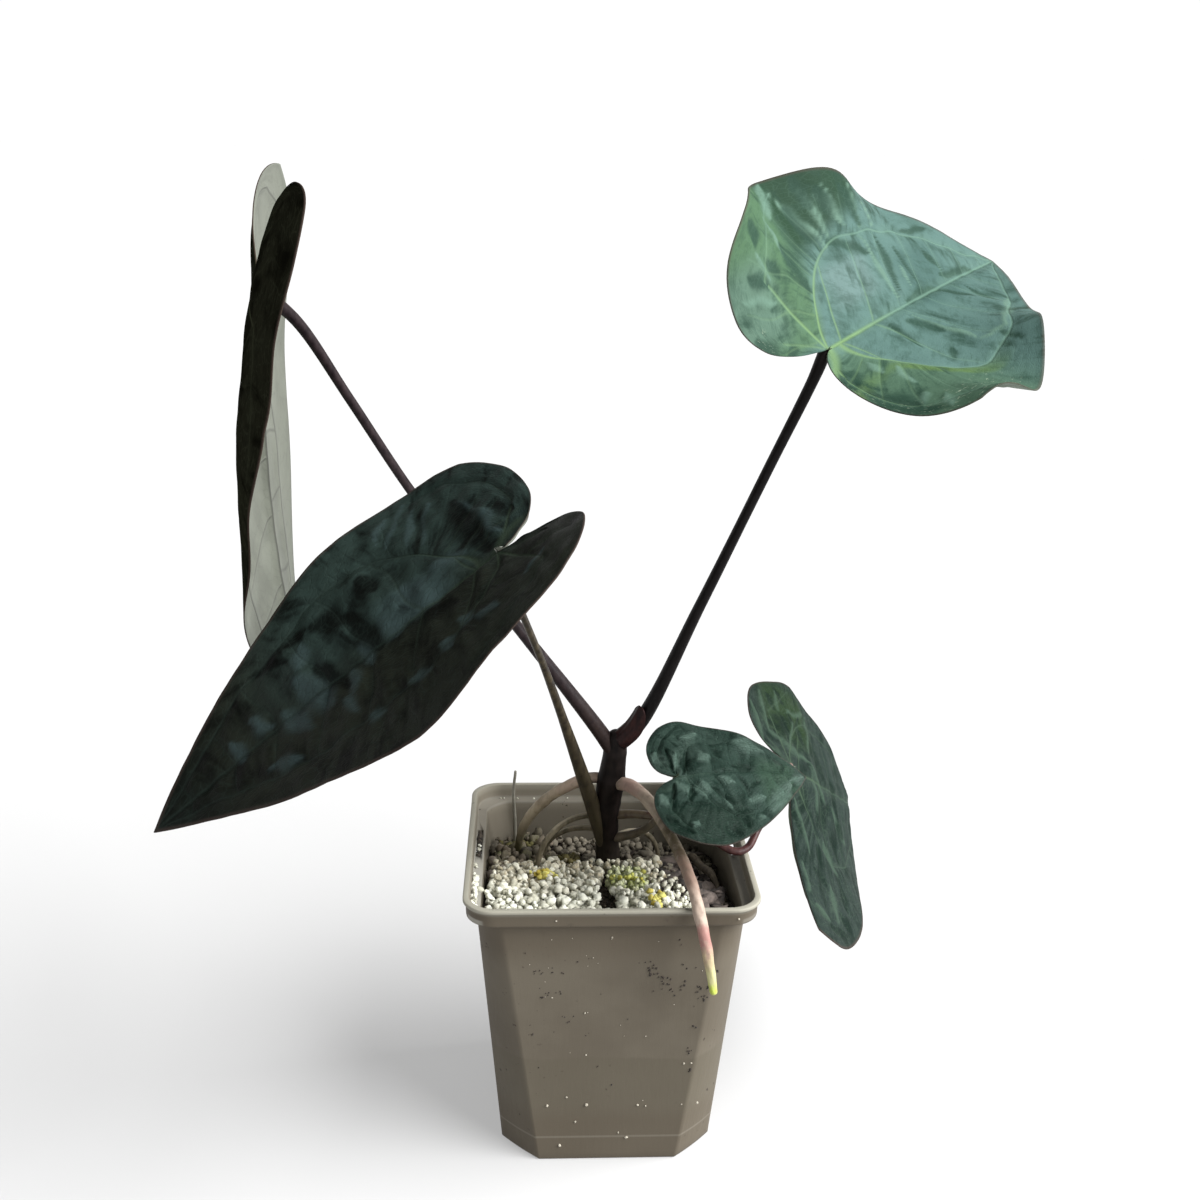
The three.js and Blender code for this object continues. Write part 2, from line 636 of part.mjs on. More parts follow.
// Each petiole and root is cut clear of the stem, of its own blade and of those placed before it
const clearances = [fatStem];
for (const name of Object.keys(PETIOLES)) {
  const thickBlade = toManifold(blade(LEAVES[name], BLADE_THICKNESS + 2 * GAP));
  const tube = largest(petioleTube(name).subtract(unite([...clearances, thickBlade])));
  place(`petiole_${name}`, fromManifold(tube), PETIOLES[name].colour, 0.5);
  clearances.push(petioleTube(name, GAP));
}
place('sheath', fromManifold(largest(sheath().subtract(unite(clearances)))), 0x4a2320, 0.6);
for (const name of Object.keys(ROOTS)) {
  const tube = largest(rootTube(name).subtract(unite(clearances)));
  place(`root_${name}`, fromManifold(tube), ROOTS[name].colour, 0.7);
  clearances.push(rootTube(name, GAP));
}
for (const [name, leaf] of Object.entries(LEAVES)) {
  place(`leaf_${name}`, blade(leaf), leaf.colour, 0.6);
}

const room = potRoom();
const holes = unite(clearances);
place('potting_mix', fromManifold(largest(mixBody(0).intersect(room).subtract(holes))), 0x3a2b22, 0.95);

let laid = mixBody(GAP).add(holes);
function lay(name, bed, fatBed, colour) {
  place(name, fromManifold(largest(bed.intersect(room).subtract(laid).simplify(GAP / 2))), colour, 0.9);
  laid = laid.add(fatBed);
}

for (const [name, bed] of Object.entries(BEDS)) {
  lay(name, grainBed(bed), grainBed(bed, GAP), bed.colour);
}
lay('bark_chips', barkBed(SEED + 3), barkBed(SEED + 3, GAP), 0x3b2a24);

export default plant;
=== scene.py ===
"""The looks of a potted anthurium: fine leaves, petioles, roots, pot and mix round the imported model.

Lengths are written in millimetres in the model's own frame, +Z up and the viewer's side -Y, and become
metres when a mesh is made. Surfaces are worked out as whole arrays.
"""

import math
from types import SimpleNamespace

import bpy
import numpy as np
from mathutils import Matrix


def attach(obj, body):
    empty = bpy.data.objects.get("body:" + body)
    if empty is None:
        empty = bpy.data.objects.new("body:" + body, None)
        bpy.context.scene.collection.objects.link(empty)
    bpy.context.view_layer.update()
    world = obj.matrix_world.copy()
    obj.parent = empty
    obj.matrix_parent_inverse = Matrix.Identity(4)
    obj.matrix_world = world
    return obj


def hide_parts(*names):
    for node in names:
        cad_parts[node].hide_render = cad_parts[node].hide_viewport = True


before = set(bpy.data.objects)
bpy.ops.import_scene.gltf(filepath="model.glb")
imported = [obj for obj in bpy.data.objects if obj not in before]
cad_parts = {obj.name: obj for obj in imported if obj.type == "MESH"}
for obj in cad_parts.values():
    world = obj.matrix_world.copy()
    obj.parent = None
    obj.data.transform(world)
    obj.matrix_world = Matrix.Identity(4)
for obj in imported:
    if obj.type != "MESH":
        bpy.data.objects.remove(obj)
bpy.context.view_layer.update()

MM = 0.001

# Dimensions that repeat the model's own

POT = dict(
    height=107, base_half=37.6, under_collar_half=45.5, rim_half=50, collar_half=49.2, collar_height=6.7,
    lip_height=1.4, wall=1.3, base_corner=13.2, top_corner=8.4, rim_corner=10.5, base_roundness=0.1,
    top_roundness=0.55, slot_length=21, slot_width=2, slot_y=9.3, drain_radius=3.5, drain_offset=25)
UNDER_COLLAR = POT["height"] - POT["collar_height"]
LEDGE_TOP = UNDER_COLLAR + POT["wall"]
INSIDE_COLLAR = POT["collar_half"] - POT["wall"]
FLOOR_TOP = 1.8

MIX = dict(back_height=85, front_height=96.5, right_dip=5, lump=0.8)

STEM = dict(route=[(2.5, 14, 70), (1.2, 12, 92), (0.2, 9, 114), (1.8, 6.5, 131), (3.2, 5, 145)],
            radii=[3.8, 4.2, 4.1, 4.6, 3.4])

WAVES = 2.2
WIDEST = 0.385
HALF_OUTLINE = [(0, 0), (-0.10, 0.022), (-0.18, 0.065), (-0.215, 0.145), (-0.17, 0.265), (-0.03, 0.355),
                (0.13, 0.385), (0.35, 0.335), (0.60, 0.22), (0.80, 0.11), (0.93, 0.04), (1, 0)]

LEAVES = {
    "upper_right": dict(
        foot=(66, -15.3, 285.9), turn=(0.22, 0.83, -0.72), length=145.5, width=(1.03, 1.05),
        lobe=(0.99, 0.31), arch=(0.28, 0.95), fold=(0.25, 0.24), curl=(-0.05, 1.73), twist=-0.3,
        wave=(0.042, 0.05), phase=(-3.04, 1.19)),
    "far_left": dict(
        foot=(-102.7, -59.7, 307.5), turn=(-2.07, -1.21, 1.04), length=167.8, width=(1.03, 1.14),
        lobe=(1.75, 0.17), arch=(0.5, 1.74), fold=(-0.59, 1.02), curl=(-1.44, -1.24), twist=0.19,
        wave=(0.01, -0.01), phase=(-0.43, 0.09)),
    "front_left": dict(
        foot=(-36.4, -87.1, 239.6), turn=(3.8, 0.04, 1.14), length=130.3, width=(1.04, 1.09),
        lobe=(0.97, 0.56), arch=(0.09, 0.21), fold=(0.3, -0.11), curl=(0.02, 0.02), twist=-0.52,
        wave=(0.012, 0.014), phase=(0.6, 2.2)),
    "front_right": dict(
        foot=(20.4, -41.7, 151.2), turn=(0, 0.32, -0.77), length=62.3, width=(0.9, 1.06),
        lobe=(0.54, 0.81), arch=(0.75, 0.09), fold=(-0.33, 0.11), curl=(0.02, 0.02), twist=0.16,
        wave=(0.02, 0.02), phase=(0.3, 1.5)),
    "hanging_right": dict(
        foot=(67.4, 10, 130.7), turn=(-0.6, 0.77, 0.15), length=116.2, width=(0.84, 1.43),
        lobe=(1.09, 0.05), arch=(0.64, 0), fold=(-0.8, 0.53), curl=(-0.11, 0.85), twist=0,
        wave=(0.008, 0.008), phase=(0.2, 1.4)),
}

PETIOLES = {
    "upper_right": dict(
        route=[(3.2, 5, 143), (11.1, 3, 152), (30.1, -3, 197), (50.4, -10, 247.3), (62.5, -14, 277)],
        radii=[3.0, 2.4, 2.0, 1.8, 1.8, 2.0]),
    "far_left": dict(
        route=[(3, 5.5, 138), (-4, 4.5, 149), (-31.2, -2, 187.9), (-49.3, -8, 213.8), (-66.1, -16, 240.1),
               (-82.4, -30, 271.5), (-94.3, -48, 297)],
        radii=[3.0, 2.2, 1.7, 1.5, 1.5, 1.8]),
    "front_left": dict(
        route=[(0, 10.5, 100), (-6.2, 4, 122), (-13.9, -10, 150.7), (-22.8, -35, 185.7), (-33, -74, 226)],
        radii=[3.2, 2.5, 1.6, 1.2, 1.1, 1.3]),
    "front_right": dict(
        route=[(0.5, 10.5, 103), (5.5, 7, 105), (12, 2, 109.5), (16.9, -14, 122.9), (19.8, -30, 140.3)],
        radii=[1.8, 1.5, 1.3, 1.2, 1.2]),
    "hanging_right": dict(
        route=[(0.5, 10, 111.5), (6, 8, 113.5), (15.5, 2, 115.8), (32.4, -9, 114.9), (44.3, -15, 110.2),
               (49, -13.5, 111), (53, -9, 116), (60, 0, 124)],
        radii=[1.8, 1.5, 1.4, 1.4, 1.4, 1.5, 1.6]),
}

ROOTS = {
    "over_rim": dict(
        route=[(2, 6.5, 127), (8, 0, 128.5), (14.1, -10, 127), (20.8, -26, 121), (25.6, -42, 114.3),
               (27.8, -52.8, 107.6), (30.1, -57.5, 97.1), (32.6, -60.5, 83)],
        radii=[2.3, 2.4, 2.2, 2, 2, 2, 1.9, 1.2]),
    "left_thick": dict(
        route=[(1, 7, 128), (-5, 8.5, 128), (-13.2, 10, 124.4), (-22.2, 14, 116.5), (-30, 21, 102.5),
               (-33.5, 26, 84)],
        radii=[2, 2.1, 2, 1.9, 1.5, 1]),
    "left_upper": dict(
        route=[(0.5, 9, 113), (-6, 7.5, 113.6), (-14, 6, 112), (-22.3, 3, 105), (-26.5, 1, 88)],
        radii=[1.1, 1.1, 1.1, 1, 0.8]),
    "left_lower": dict(
        route=[(0.5, 10, 106), (-7, 9.5, 107.5), (-15, 11, 105.5), (-21.5, 13, 99), (-23, 14, 83)],
        radii=[1, 1, 1, 0.9, 0.7]),
    "right_lower": dict(
        route=[(1, 12, 101), (8, 14, 103.5), (14.5, 15.5, 102.5), (19, 16.5, 97), (21, 17, 82)],
        radii=[1, 1, 0.9, 0.8, 0.7]),
    "thread": dict(
        route=[(-33.4, 33, 80), (-33.6, 32, 101), (-34, 30, 112), (-33.2, 27, 122)],
        radii=[0.7, 0.7, 0.6, 0.5]),
}
LYING_ROOT = dict(
    route=[(31, 22, 86), (33, 18, 91), (35.2, 8, 92.5), (38, -4, 95), (39.5, -9, 93)],
    radii=[1.3, 1.5, 1.4, 1.5, 1])

# The sheath: where it starts and ends along the petiole, the way it faces, and its two sheets' radii.
SHEATH = dict(start=0.012, end=0.125, front=(-0.75, -0.6, 0.25), half_angle=1.75, radii=(3.15, 3.7),
              flare=0.5)


# Camera, floor and light

FLOOR_REACH = 20000
FLOOR_COLOUR = 0.29
FLOOR_GLOW = 0.37
WINDOW = dict(azimuth=-19, height=39, width=56, power=10.2)
CAMERA = dict(place=(-26.3, -480.0, 352.8), yaw=0.0466, pitch=0.3115, roll=0.0163, lens=44.4)

# The sky's strength goes from To Min to To Max as a ray's upward part goes from From Min to From Max.
SKY = {"From Min": 0.17, "From Max": 0.57, "To Min": 1.02, "To Max": 0.2}


def add_object(name, data):
    """An object in the scene for a mesh, a light or a camera."""
    thing = bpy.data.objects.new(name, data)
    bpy.context.scene.collection.objects.link(thing)
    return thing


def plain_object(name, points, faces):
    """An object from points in millimetres and faces as tuples of corner numbers."""
    mesh = bpy.data.meshes.new(name)
    mesh.from_pydata((np.array(points) * MM).tolist(), [], faces)
    return add_object(name, mesh)


def aim_camera():
    """Stands at the photo's place and looks along its axis: yaw to the right, pitch down, then the roll."""
    yaw, pitch, roll = CAMERA["yaw"], CAMERA["pitch"], CAMERA["roll"]
    ahead = np.array([math.sin(yaw) * math.cos(pitch), math.cos(yaw) * math.cos(pitch), -math.sin(pitch)])
    right = np.array([math.cos(yaw), -math.sin(yaw), 0])
    up = np.cross(right, ahead)
    rolled_right = math.cos(roll) * right + math.sin(roll) * up
    rolled_up = math.cos(roll) * up - math.sin(roll) * right
    turn = np.eye(4)
    turn[:3, 0], turn[:3, 1], turn[:3, 2] = rolled_right, rolled_up, -ahead
    turn[:3, 3] = np.array(CAMERA["place"]) * MM
    data = bpy.data.cameras.new("camera")
    data.lens = CAMERA["lens"]
    data.sensor_width = 36
    data.clip_end = 50
    camera = add_object("camera", data)
    camera.matrix_world = Matrix(turn.tolist())
    bpy.context.scene.camera = camera


def window_light(azimuth, height, width, power):
    """A light as wide as a large window, in degrees: azimuth from +X towards +Y, height over the floor."""
    data = bpy.data.lights.new("window", "SUN")
    data.angle = math.radians(width)
    data.energy = power
    light = add_object("window", data)
    light.rotation_euler = (0, math.radians(90 - height), math.radians(azimuth))


def studio():
    """A wide pale floor that glows a little, a window light at the right, and a sky that is white near the
    horizon and dim overhead."""
    grey, white = (FLOOR_COLOUR,) * 3, (1, 1, 1)
    finish = Finish("pale_floor", Roughness=1.0, Specular_IOR_Level=0.0, Base_Color=grey,
                    Emission_Color=white, Emission_Strength=FLOOR_GLOW)
    corners = [(x * FLOOR_REACH, y * FLOOR_REACH, 0) for x, y in ((-1, -1), (1, -1), (1, 1), (-1, 1))]
    floor = plain_object("floor", corners, [(0, 1, 2, 3)])
    floor.data.materials.append(finish.material)
    world = bpy.data.worlds.new("sky")
    world.use_nodes = True
    sky = Nodes(world.node_tree)
    upward = sky.node("SeparateXYZ", inputs=[sky.node("TexCoord", output="Generated")], output="Z")
    background = sky.tree.nodes["Background"]
    sky.join(background.inputs["Color"], white)
    sky.join(background.inputs["Strength"], sky.node("MapRange", inputs={"Value": upward, **SKY}))
    bpy.context.scene.world = world
    window_light(**WINDOW)
    bpy.context.scene.view_settings.view_transform = "Standard"


# Values of a surface: the same formula works on arrays and on sockets of a finish

def operator_pair(operation):
    """The methods of one operator, for a value before the sign and for a value after it."""
    return (lambda value, other: value.math(operation, value, other),
            lambda value, other: value.math(operation, other, value))


class Value:
    """An output in a node tree. Arithmetic on it adds Math nodes."""

    def __init__(self, nodes, socket):
        self.nodes = nodes
        self.socket = socket

    def math(self, operation, *inputs):
        return self.nodes.node("Math", {"operation": operation}, inputs)

    __add__, __radd__ = operator_pair("ADD")
    __sub__, __rsub__ = operator_pair("SUBTRACT")
    __mul__, __rmul__ = operator_pair("MULTIPLY")
    __truediv__, __rtruediv__ = operator_pair("DIVIDE")

    def __abs__(self):
        return self.math("ABSOLUTE", self)


def either(array_function, operation):
    """A function of one or two numbers that takes arrays or sockets."""
    def apply(*values):
        for value in values:
            if isinstance(value, Value):
                return value.math(operation, *values)
        return array_function(*values)
    return apply


least = either(np.minimum, "MINIMUM")
most = either(np.maximum, "MAXIMUM")
power = either(np.power, "POWER")
sine = either(np.sin, "SINE")
bearing = either(np.arctan2, "ARCTAN2")
whole = either(np.round, "ROUND")


def ease(value, low, high):
    """0 below low, 1 above high, and a smooth step between; high may be the lower of the two."""
    if isinstance(value, Value):
        if low > high:
            return 1 - ease(value, high, low)
        settings = {"interpolation_type": "SMOOTHSTEP"}
        return value.nodes.node("MapRange", settings, {"Value": value, "From Min": low, "From Max": high})
    t = np.clip((value - low) / (high - low), 0, 1)
    return t * t * (3 - 2 * t)


class Nodes:
    """A node tree, and the one method that adds to it."""

    def __init__(self, tree):
        self.tree = tree

    def node(self, kind, settings=None, inputs=(), output=0):
        """Adds one node: its settings first, then its inputs by name or number, and returns one output."""
        node = self.tree.nodes.new("ShaderNode" + kind)
        for key, value in (settings or {}).items():
            setattr(node, key, value)
        pairs = inputs.items() if isinstance(inputs, dict) else enumerate(inputs)
        for key, value in pairs:
            self.join(node.inputs[key], value)
        return Value(self, node.outputs[output])

    def join(self, socket, value):
        """Links a value to the socket, or sets the socket to a number or colour."""
        if isinstance(value, Value):
            self.tree.links.new(value.socket, socket)
        elif socket.type == "RGBA" and len(value) == 3:
            socket.default_value = (*value, 1)
        else:
            socket.default_value = value


class Finish(Nodes):
    """A material round one Principled shader. What is the same all over is set on its own sockets."""

    def __init__(self, name, **constants):
        self.material = bpy.data.materials.new(name)
        self.material.use_nodes = True
        super().__init__(self.material.node_tree)
        self.shader = self.tree.nodes["Principled BSDF"]
        self.feed(**constants)

    def feed(self, **values):
        """Sets or links the shader's sockets, their spaces written as underscores."""
        for socket, value in values.items():
            self.join(self.shader.inputs[socket.replace("_", " ")], value)

    def place(self):
        return self.node("TexCoord", output="Object")

    def field(self, name, output="Fac"):
        return self.node("Attribute", {"attribute_name": name}, output=output)

    def vector(self, x, y, z):
        return self.node("CombineXYZ", inputs=[x, y, z])

    def parts(self, vector):
        return [self.node("SeparateXYZ", inputs=[vector], output=axis) for axis in "XYZ"]

    def noise(self, vector, scale, detail=3, roughness=0.55):
        inputs = {"Vector": vector, "Scale": scale, "Detail": detail, "Roughness": roughness}
        return self.node("TexNoise", inputs=inputs)

    def web(self, vector, scale):
        """Distance to the nearest edge in a net of cells."""
        inputs = {"Vector": vector, "Scale": scale}
        return self.node("TexVoronoi", {"feature": "DISTANCE_TO_EDGE"}, inputs, "Distance")

    def stretched(self, vector, scale):
        return self.node("VectorMath", {"operation": "MULTIPLY"}, [vector, scale])

    def blend(self, a, b, amount):
        """Colour a turning into colour b as amount goes from 0 to 1."""
        return self.node("Mix", {"data_type": "RGBA"}, {0: amount, 6: a, 7: b}, 2)

    def layers(self, colour, layers):
        """Each layer's colour laid in turn over what is there, by its amount."""
        for shade, amount in layers:
            colour = self.blend(colour, shade, amount)
        return colour

    def bump(self, height, millimetres):
        return self.node("Bump", inputs={"Height": height, "Distance": millimetres * MM, "Strength": 1.0})


# Meshes from arrays

def make_piece(name, points, faces, finishes, replaces=(), fields=None, finish_index=None):
    """Makes one object: points in millimetres, faces as arrays of corner numbers, fields by point."""
    mesh = bpy.data.meshes.new(name)
    mesh.vertices.add(len(points))
    mesh.vertices.foreach_set("co", (np.asarray(points) * MM).ravel())
    corners = np.concatenate([face.ravel() for face in faces])
    sizes = np.concatenate([np.full(len(face), face.shape[1]) for face in faces])
    mesh.loops.add(len(corners))
    mesh.loops.foreach_set("vertex_index", corners.astype(np.int32))
    mesh.polygons.add(len(sizes))
    mesh.polygons.foreach_set("loop_start", np.concatenate([[0], np.cumsum(sizes)[:-1]]).astype(np.int32))
    mesh.polygons.foreach_set("use_smooth", np.ones(len(sizes), bool))
    for finish in finishes:
        mesh.materials.append(finish.material)
    if finish_index is not None:
        mesh.polygons.foreach_set("material_index", finish_index.astype(np.int32))
    for field, values in (fields or {}).items():
        values = np.asarray(values, np.float32)
        kind = "FLOAT" if values.ndim == 1 else "FLOAT_VECTOR"
        layer = mesh.attributes.new(field, kind, "POINT")
        layer.data.foreach_set("value" if values.ndim == 1 else "vector", values.ravel())
    mesh.update(calc_edges=True)
    piece = add_object(name, mesh)
    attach(piece, "root")
    if replaces:
        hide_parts(*replaces)
    return piece


def grid_quads(rows, columns, wrap=False):
    """Quads between neighbours on a grid of points; wrap joins the last column to the first."""
    index = np.arange(rows * columns).reshape(rows, columns)
    if wrap:
        index = np.concatenate([index, index[:, :1]], axis=1)
    corners = [index[:-1, :-1], index[:-1, 1:], index[1:, 1:], index[1:, :-1]]
    return np.stack(corners, axis=-1).reshape(-1, 4)


def border_wall(border, count):
    """Quads between the border of one sheet and that of its other side, whose numbers are higher by count."""
    after = np.roll(border, -1)
    return np.stack([border, after, after + count, border + count], -1)


def closed_loft(rings):
    """Rings (rows, columns, 3) that turn anticlockwise on the way up, closed by a fan at each end."""
    rows, columns, _ = rings.shape
    points = np.concatenate([rings.reshape(-1, 3), [rings[0].mean(0)], [rings[-1].mean(0)]])
    ring = np.arange(columns)
    after = (ring + 1) % columns
    top = (rows - 1) * columns
    first = np.stack([np.full(columns, rows * columns), after, ring], axis=-1)
    last = np.stack([np.full(columns, rows * columns + 1), top + ring, top + after], axis=-1)
    return points, [grid_quads(rows, columns, wrap=True), first, last]


def sine_noise(points, wavelength, seed, layers=6):
    """A smooth noise from -1 to 1: the mean of sine waves that run in random directions."""
    random = np.random.default_rng(seed)
    directions = random.normal(size=(layers, 3))
    directions /= np.linalg.norm(directions, axis=1, keepdims=True)
    lengths = wavelength * random.uniform(0.7, 1.5, layers)
    phases = random.uniform(0, 2 * math.pi, layers)
    waves = np.sin(np.asarray(points) @ (directions / lengths[:, None]).T * 2 * math.pi + phases)
    return waves.mean(axis=-1) * 1.6


# Tubes

def spans(points, places):
    """The four points round each place on a line of points with one more at each end, and the share t."""
    i = np.minimum(places.astype(int), len(points) - 4)
    return points[i], points[i + 1], points[i + 2], points[i + 3], (places - i)[:, None], i


def cubic(t, start, end, start_slope, end_slope):
    """The cubic curve from start to end with the slopes given there, at shares t of the way."""
    return ((2 * t ** 3 - 3 * t ** 2 + 1) * start + (t ** 3 - 2 * t ** 2 + t) * start_slope
            + (3 * t ** 2 - 2 * t ** 3) * end + (t ** 3 - t ** 2) * end_slope)


def smooth_route(route, samples):
    """A centripetal spline through the route's points, at equal steps along its length."""
    points = np.array(route, float)
    points = np.concatenate([[2 * points[0] - points[1]], points, [2 * points[-1] - points[-2]]])
    steps = np.linalg.norm(np.diff(points, axis=0), axis=1) ** 0.5
    a, b, c, d, t, i = spans(points, np.linspace(0, len(route) - 1, 60 * len(route)))
    s0, s1, s2 = steps[i][:, None], steps[i + 1][:, None], steps[i + 2][:, None]
    start_slope = ((b - a) / s0 - (c - a) / (s0 + s1) + (c - b) / s1) * s1
    end_slope = ((c - b) / s1 - (d - b) / (s1 + s2) + (d - c) / s2) * s1
    curve = cubic(t, b, c, start_slope, end_slope)
    along = np.concatenate([[0], np.cumsum(np.linalg.norm(np.diff(curve, axis=0), axis=1))])
    even = np.linspace(0, along[-1], samples)
    return np.stack([np.interp(even, along, curve[:, k]) for k in range(3)], axis=-1), even


CAP_ROWS = 5
CAP_LENGTH = 0.9
SIDEWAYS = (0.31, 0.93, 0.2)


def tube(route, radii, shape, sides=28, step=1.2):
    """Rings round a smooth route, with a rounded cap at each end.

    The radius is read along the route between the given ones. shape takes the place along the tube (0 to 1),
    the angle and the radius, and returns the radius there. step is the distance between rings.
    """
    _, even = smooth_route(route, 3)
    centres, even = smooth_route(route, max(12, int(even[-1] / step)))
    tangents = np.gradient(centres, axis=0)
    tangents /= np.linalg.norm(tangents, axis=1, keepdims=True)
    radius = np.interp(even / even[-1], np.linspace(0, 1, len(radii)), radii)
    cap_angle = np.linspace(0.15, 0.5, CAP_ROWS) * math.pi
    cap, bulge = np.sin(cap_angle), np.cos(cap_angle)[:, None] * CAP_LENGTH
    head = centres[0] - tangents[0] * radius[0] * bulge
    tail = centres[-1] + tangents[-1] * radius[-1] * bulge[::-1]
    centres = np.concatenate([head, centres[1:-1], tail])
    tangents = np.concatenate([np.repeat(tangents[:1], CAP_ROWS, 0), tangents[1:-1],
                               np.repeat(tangents[-1:], CAP_ROWS, 0)])
    place = np.concatenate([np.zeros(CAP_ROWS), even[1:-1] / even[-1], np.ones(CAP_ROWS)])
    radius = np.concatenate([radius[0] * cap, radius[1:-1], radius[-1] * cap[::-1]])
    side = np.cross(tangents, SIDEWAYS)
    side /= np.linalg.norm(side, axis=1, keepdims=True)
    other = np.cross(tangents, side)
    angle = np.linspace(0, 2 * math.pi, sides, endpoint=False)[None]
    reach = shape(place[:, None], angle, np.repeat(radius[:, None], sides, 1))
    ray = np.cos(angle)[..., None] * side[:, None] + np.sin(angle)[..., None] * other[:, None]
    points, faces = closed_loft(centres[:, None] + reach[..., None] * ray)
    fields = {"along": np.concatenate([np.repeat(place, sides), [0, 1]]),
              "up": np.concatenate([ray[..., 2].ravel(), [0, 0]])}
    return points, faces, fields


def add_tube(name, route, radii, skin, slot, replaces, shape, **fineness):
    """A tube as a piece of its own, with one skin."""
    points, faces, fields = tube(route, radii, shape, **fineness)
    make_piece(name, points, faces, [skin], replaces, fields)


def near(value, middle, width):
    """1 within 0.4 of a width of the middle and 0 beyond the width."""
    return ease(abs(value - middle), width, width * 0.4)


def sink(value, width):
    """1 on a line and 0 further off than width."""
    return 1 - ease(value, 0, width)


# The pot

CORNER_STEPS = 12
SIDE_SHARES = (0.012, 0.04, 0.12, 0.26, 0.42, 0.58, 0.74, 0.88, 0.96, 0.988)


def square_rings(half, corner, roundness, height):
    """Rings round a square whose corners go from a straight chamfer to a quarter circle with roundness."""
    half, corner, roundness, height = [v[:, None] for v in (half, corner, roundness, height)]
    t = np.linspace(0, 1, CORNER_STEPS + 1)[None]
    arc_x, arc_y = np.cos(t * math.pi / 2), np.sin(t * math.pi / 2)
    corner_x = ((1 - t) * (1 - roundness) + arc_x * roundness) * corner + half - corner
    corner_y = (t * (1 - roundness) + arc_y * roundness) * corner + half - corner
    side_x = (half - corner) * (1 - 2 * np.array([SIDE_SHARES]))
    x = np.concatenate([corner_x, side_x], axis=1)
    y = np.concatenate([corner_y, half + 0 * side_x], axis=1)
    ring_x = np.concatenate([x, -y, -x, y], axis=1)
    ring_y = np.concatenate([y, x, -y, -x], axis=1)
    return np.stack([ring_x, ring_y, height + 0 * ring_x], axis=-1)


def wall_rows(heights, inset):
    """Half width, corner, roundness and height of the pot's wall at each height, inset from its outside."""
    z = np.asarray(heights, float)
    t = z / UNDER_COLLAR
    half = POT["base_half"] + (POT["under_collar_half"] - POT["base_half"]) * t - inset
    corner = POT["base_corner"] + (POT["top_corner"] - POT["base_corner"]) * t - inset / 2
    roundness = POT["base_roundness"] + (POT["top_roundness"] - POT["base_roundness"]) * t
    return np.stack([half, corner, roundness, z], axis=-1)


def half_width(height, inset):
    """Half width of the pot's wall at one height."""
    return wall_rows([height], inset)[0, 0]


LEDGE_MIDDLE = (half_width(LEDGE_TOP, POT["wall"]) + INSIDE_COLLAR) / 2


def rim_rows(pairs):
    """The same for the collar and the lip, from pairs of half width and height."""
    half, z = np.array(pairs, float).T
    return np.stack([half, POT["rim_corner"] - (POT["rim_half"] - half) / 2, np.ones(len(z)), z], axis=-1)


def box_cutter(low, high):
    """A plain box that cuts a slot."""
    x, y, z = np.meshgrid(*zip(low, high), indexing="ij")
    points = np.stack([x.ravel(), y.ravel(), z.ravel()], axis=-1)
    faces = [(0, 1, 3, 2), (4, 6, 7, 5), (0, 4, 5, 1), (2, 3, 7, 6), (0, 2, 6, 4), (1, 5, 7, 3)]
    return plain_object("slot", points, faces)


def drain_cutter(x, y, low=-1, high=3, sides=40):
    """A cylinder that cuts a drain hole through the floor."""
    angle = np.linspace(0, 2 * math.pi, sides, endpoint=False)
    ring = [x + POT["drain_radius"] * np.cos(angle), y + POT["drain_radius"] * np.sin(angle)]
    points, faces = closed_loft(np.stack([np.stack([*ring, np.full(sides, z)], -1) for z in (low, high)]))
    return plain_object("drain", points, [face for group in faces for face in group.tolist()])


def cut_away(piece, cutters):
    """Subtracts each cutter from the piece and removes it."""
    for cutter in cutters:
        cut = piece.modifiers.new("cut", "BOOLEAN")
        cut.operation = "DIFFERENCE"
        cut.solver = "EXACT"
        cut.object = cutter
    view = bpy.context.evaluated_depsgraph_get()
    mesh = bpy.data.meshes.new_from_object(piece.evaluated_get(view))
    piece.modifiers.clear()
    piece.data = mesh
    for cutter in cutters:
        bpy.data.objects.remove(cutter)


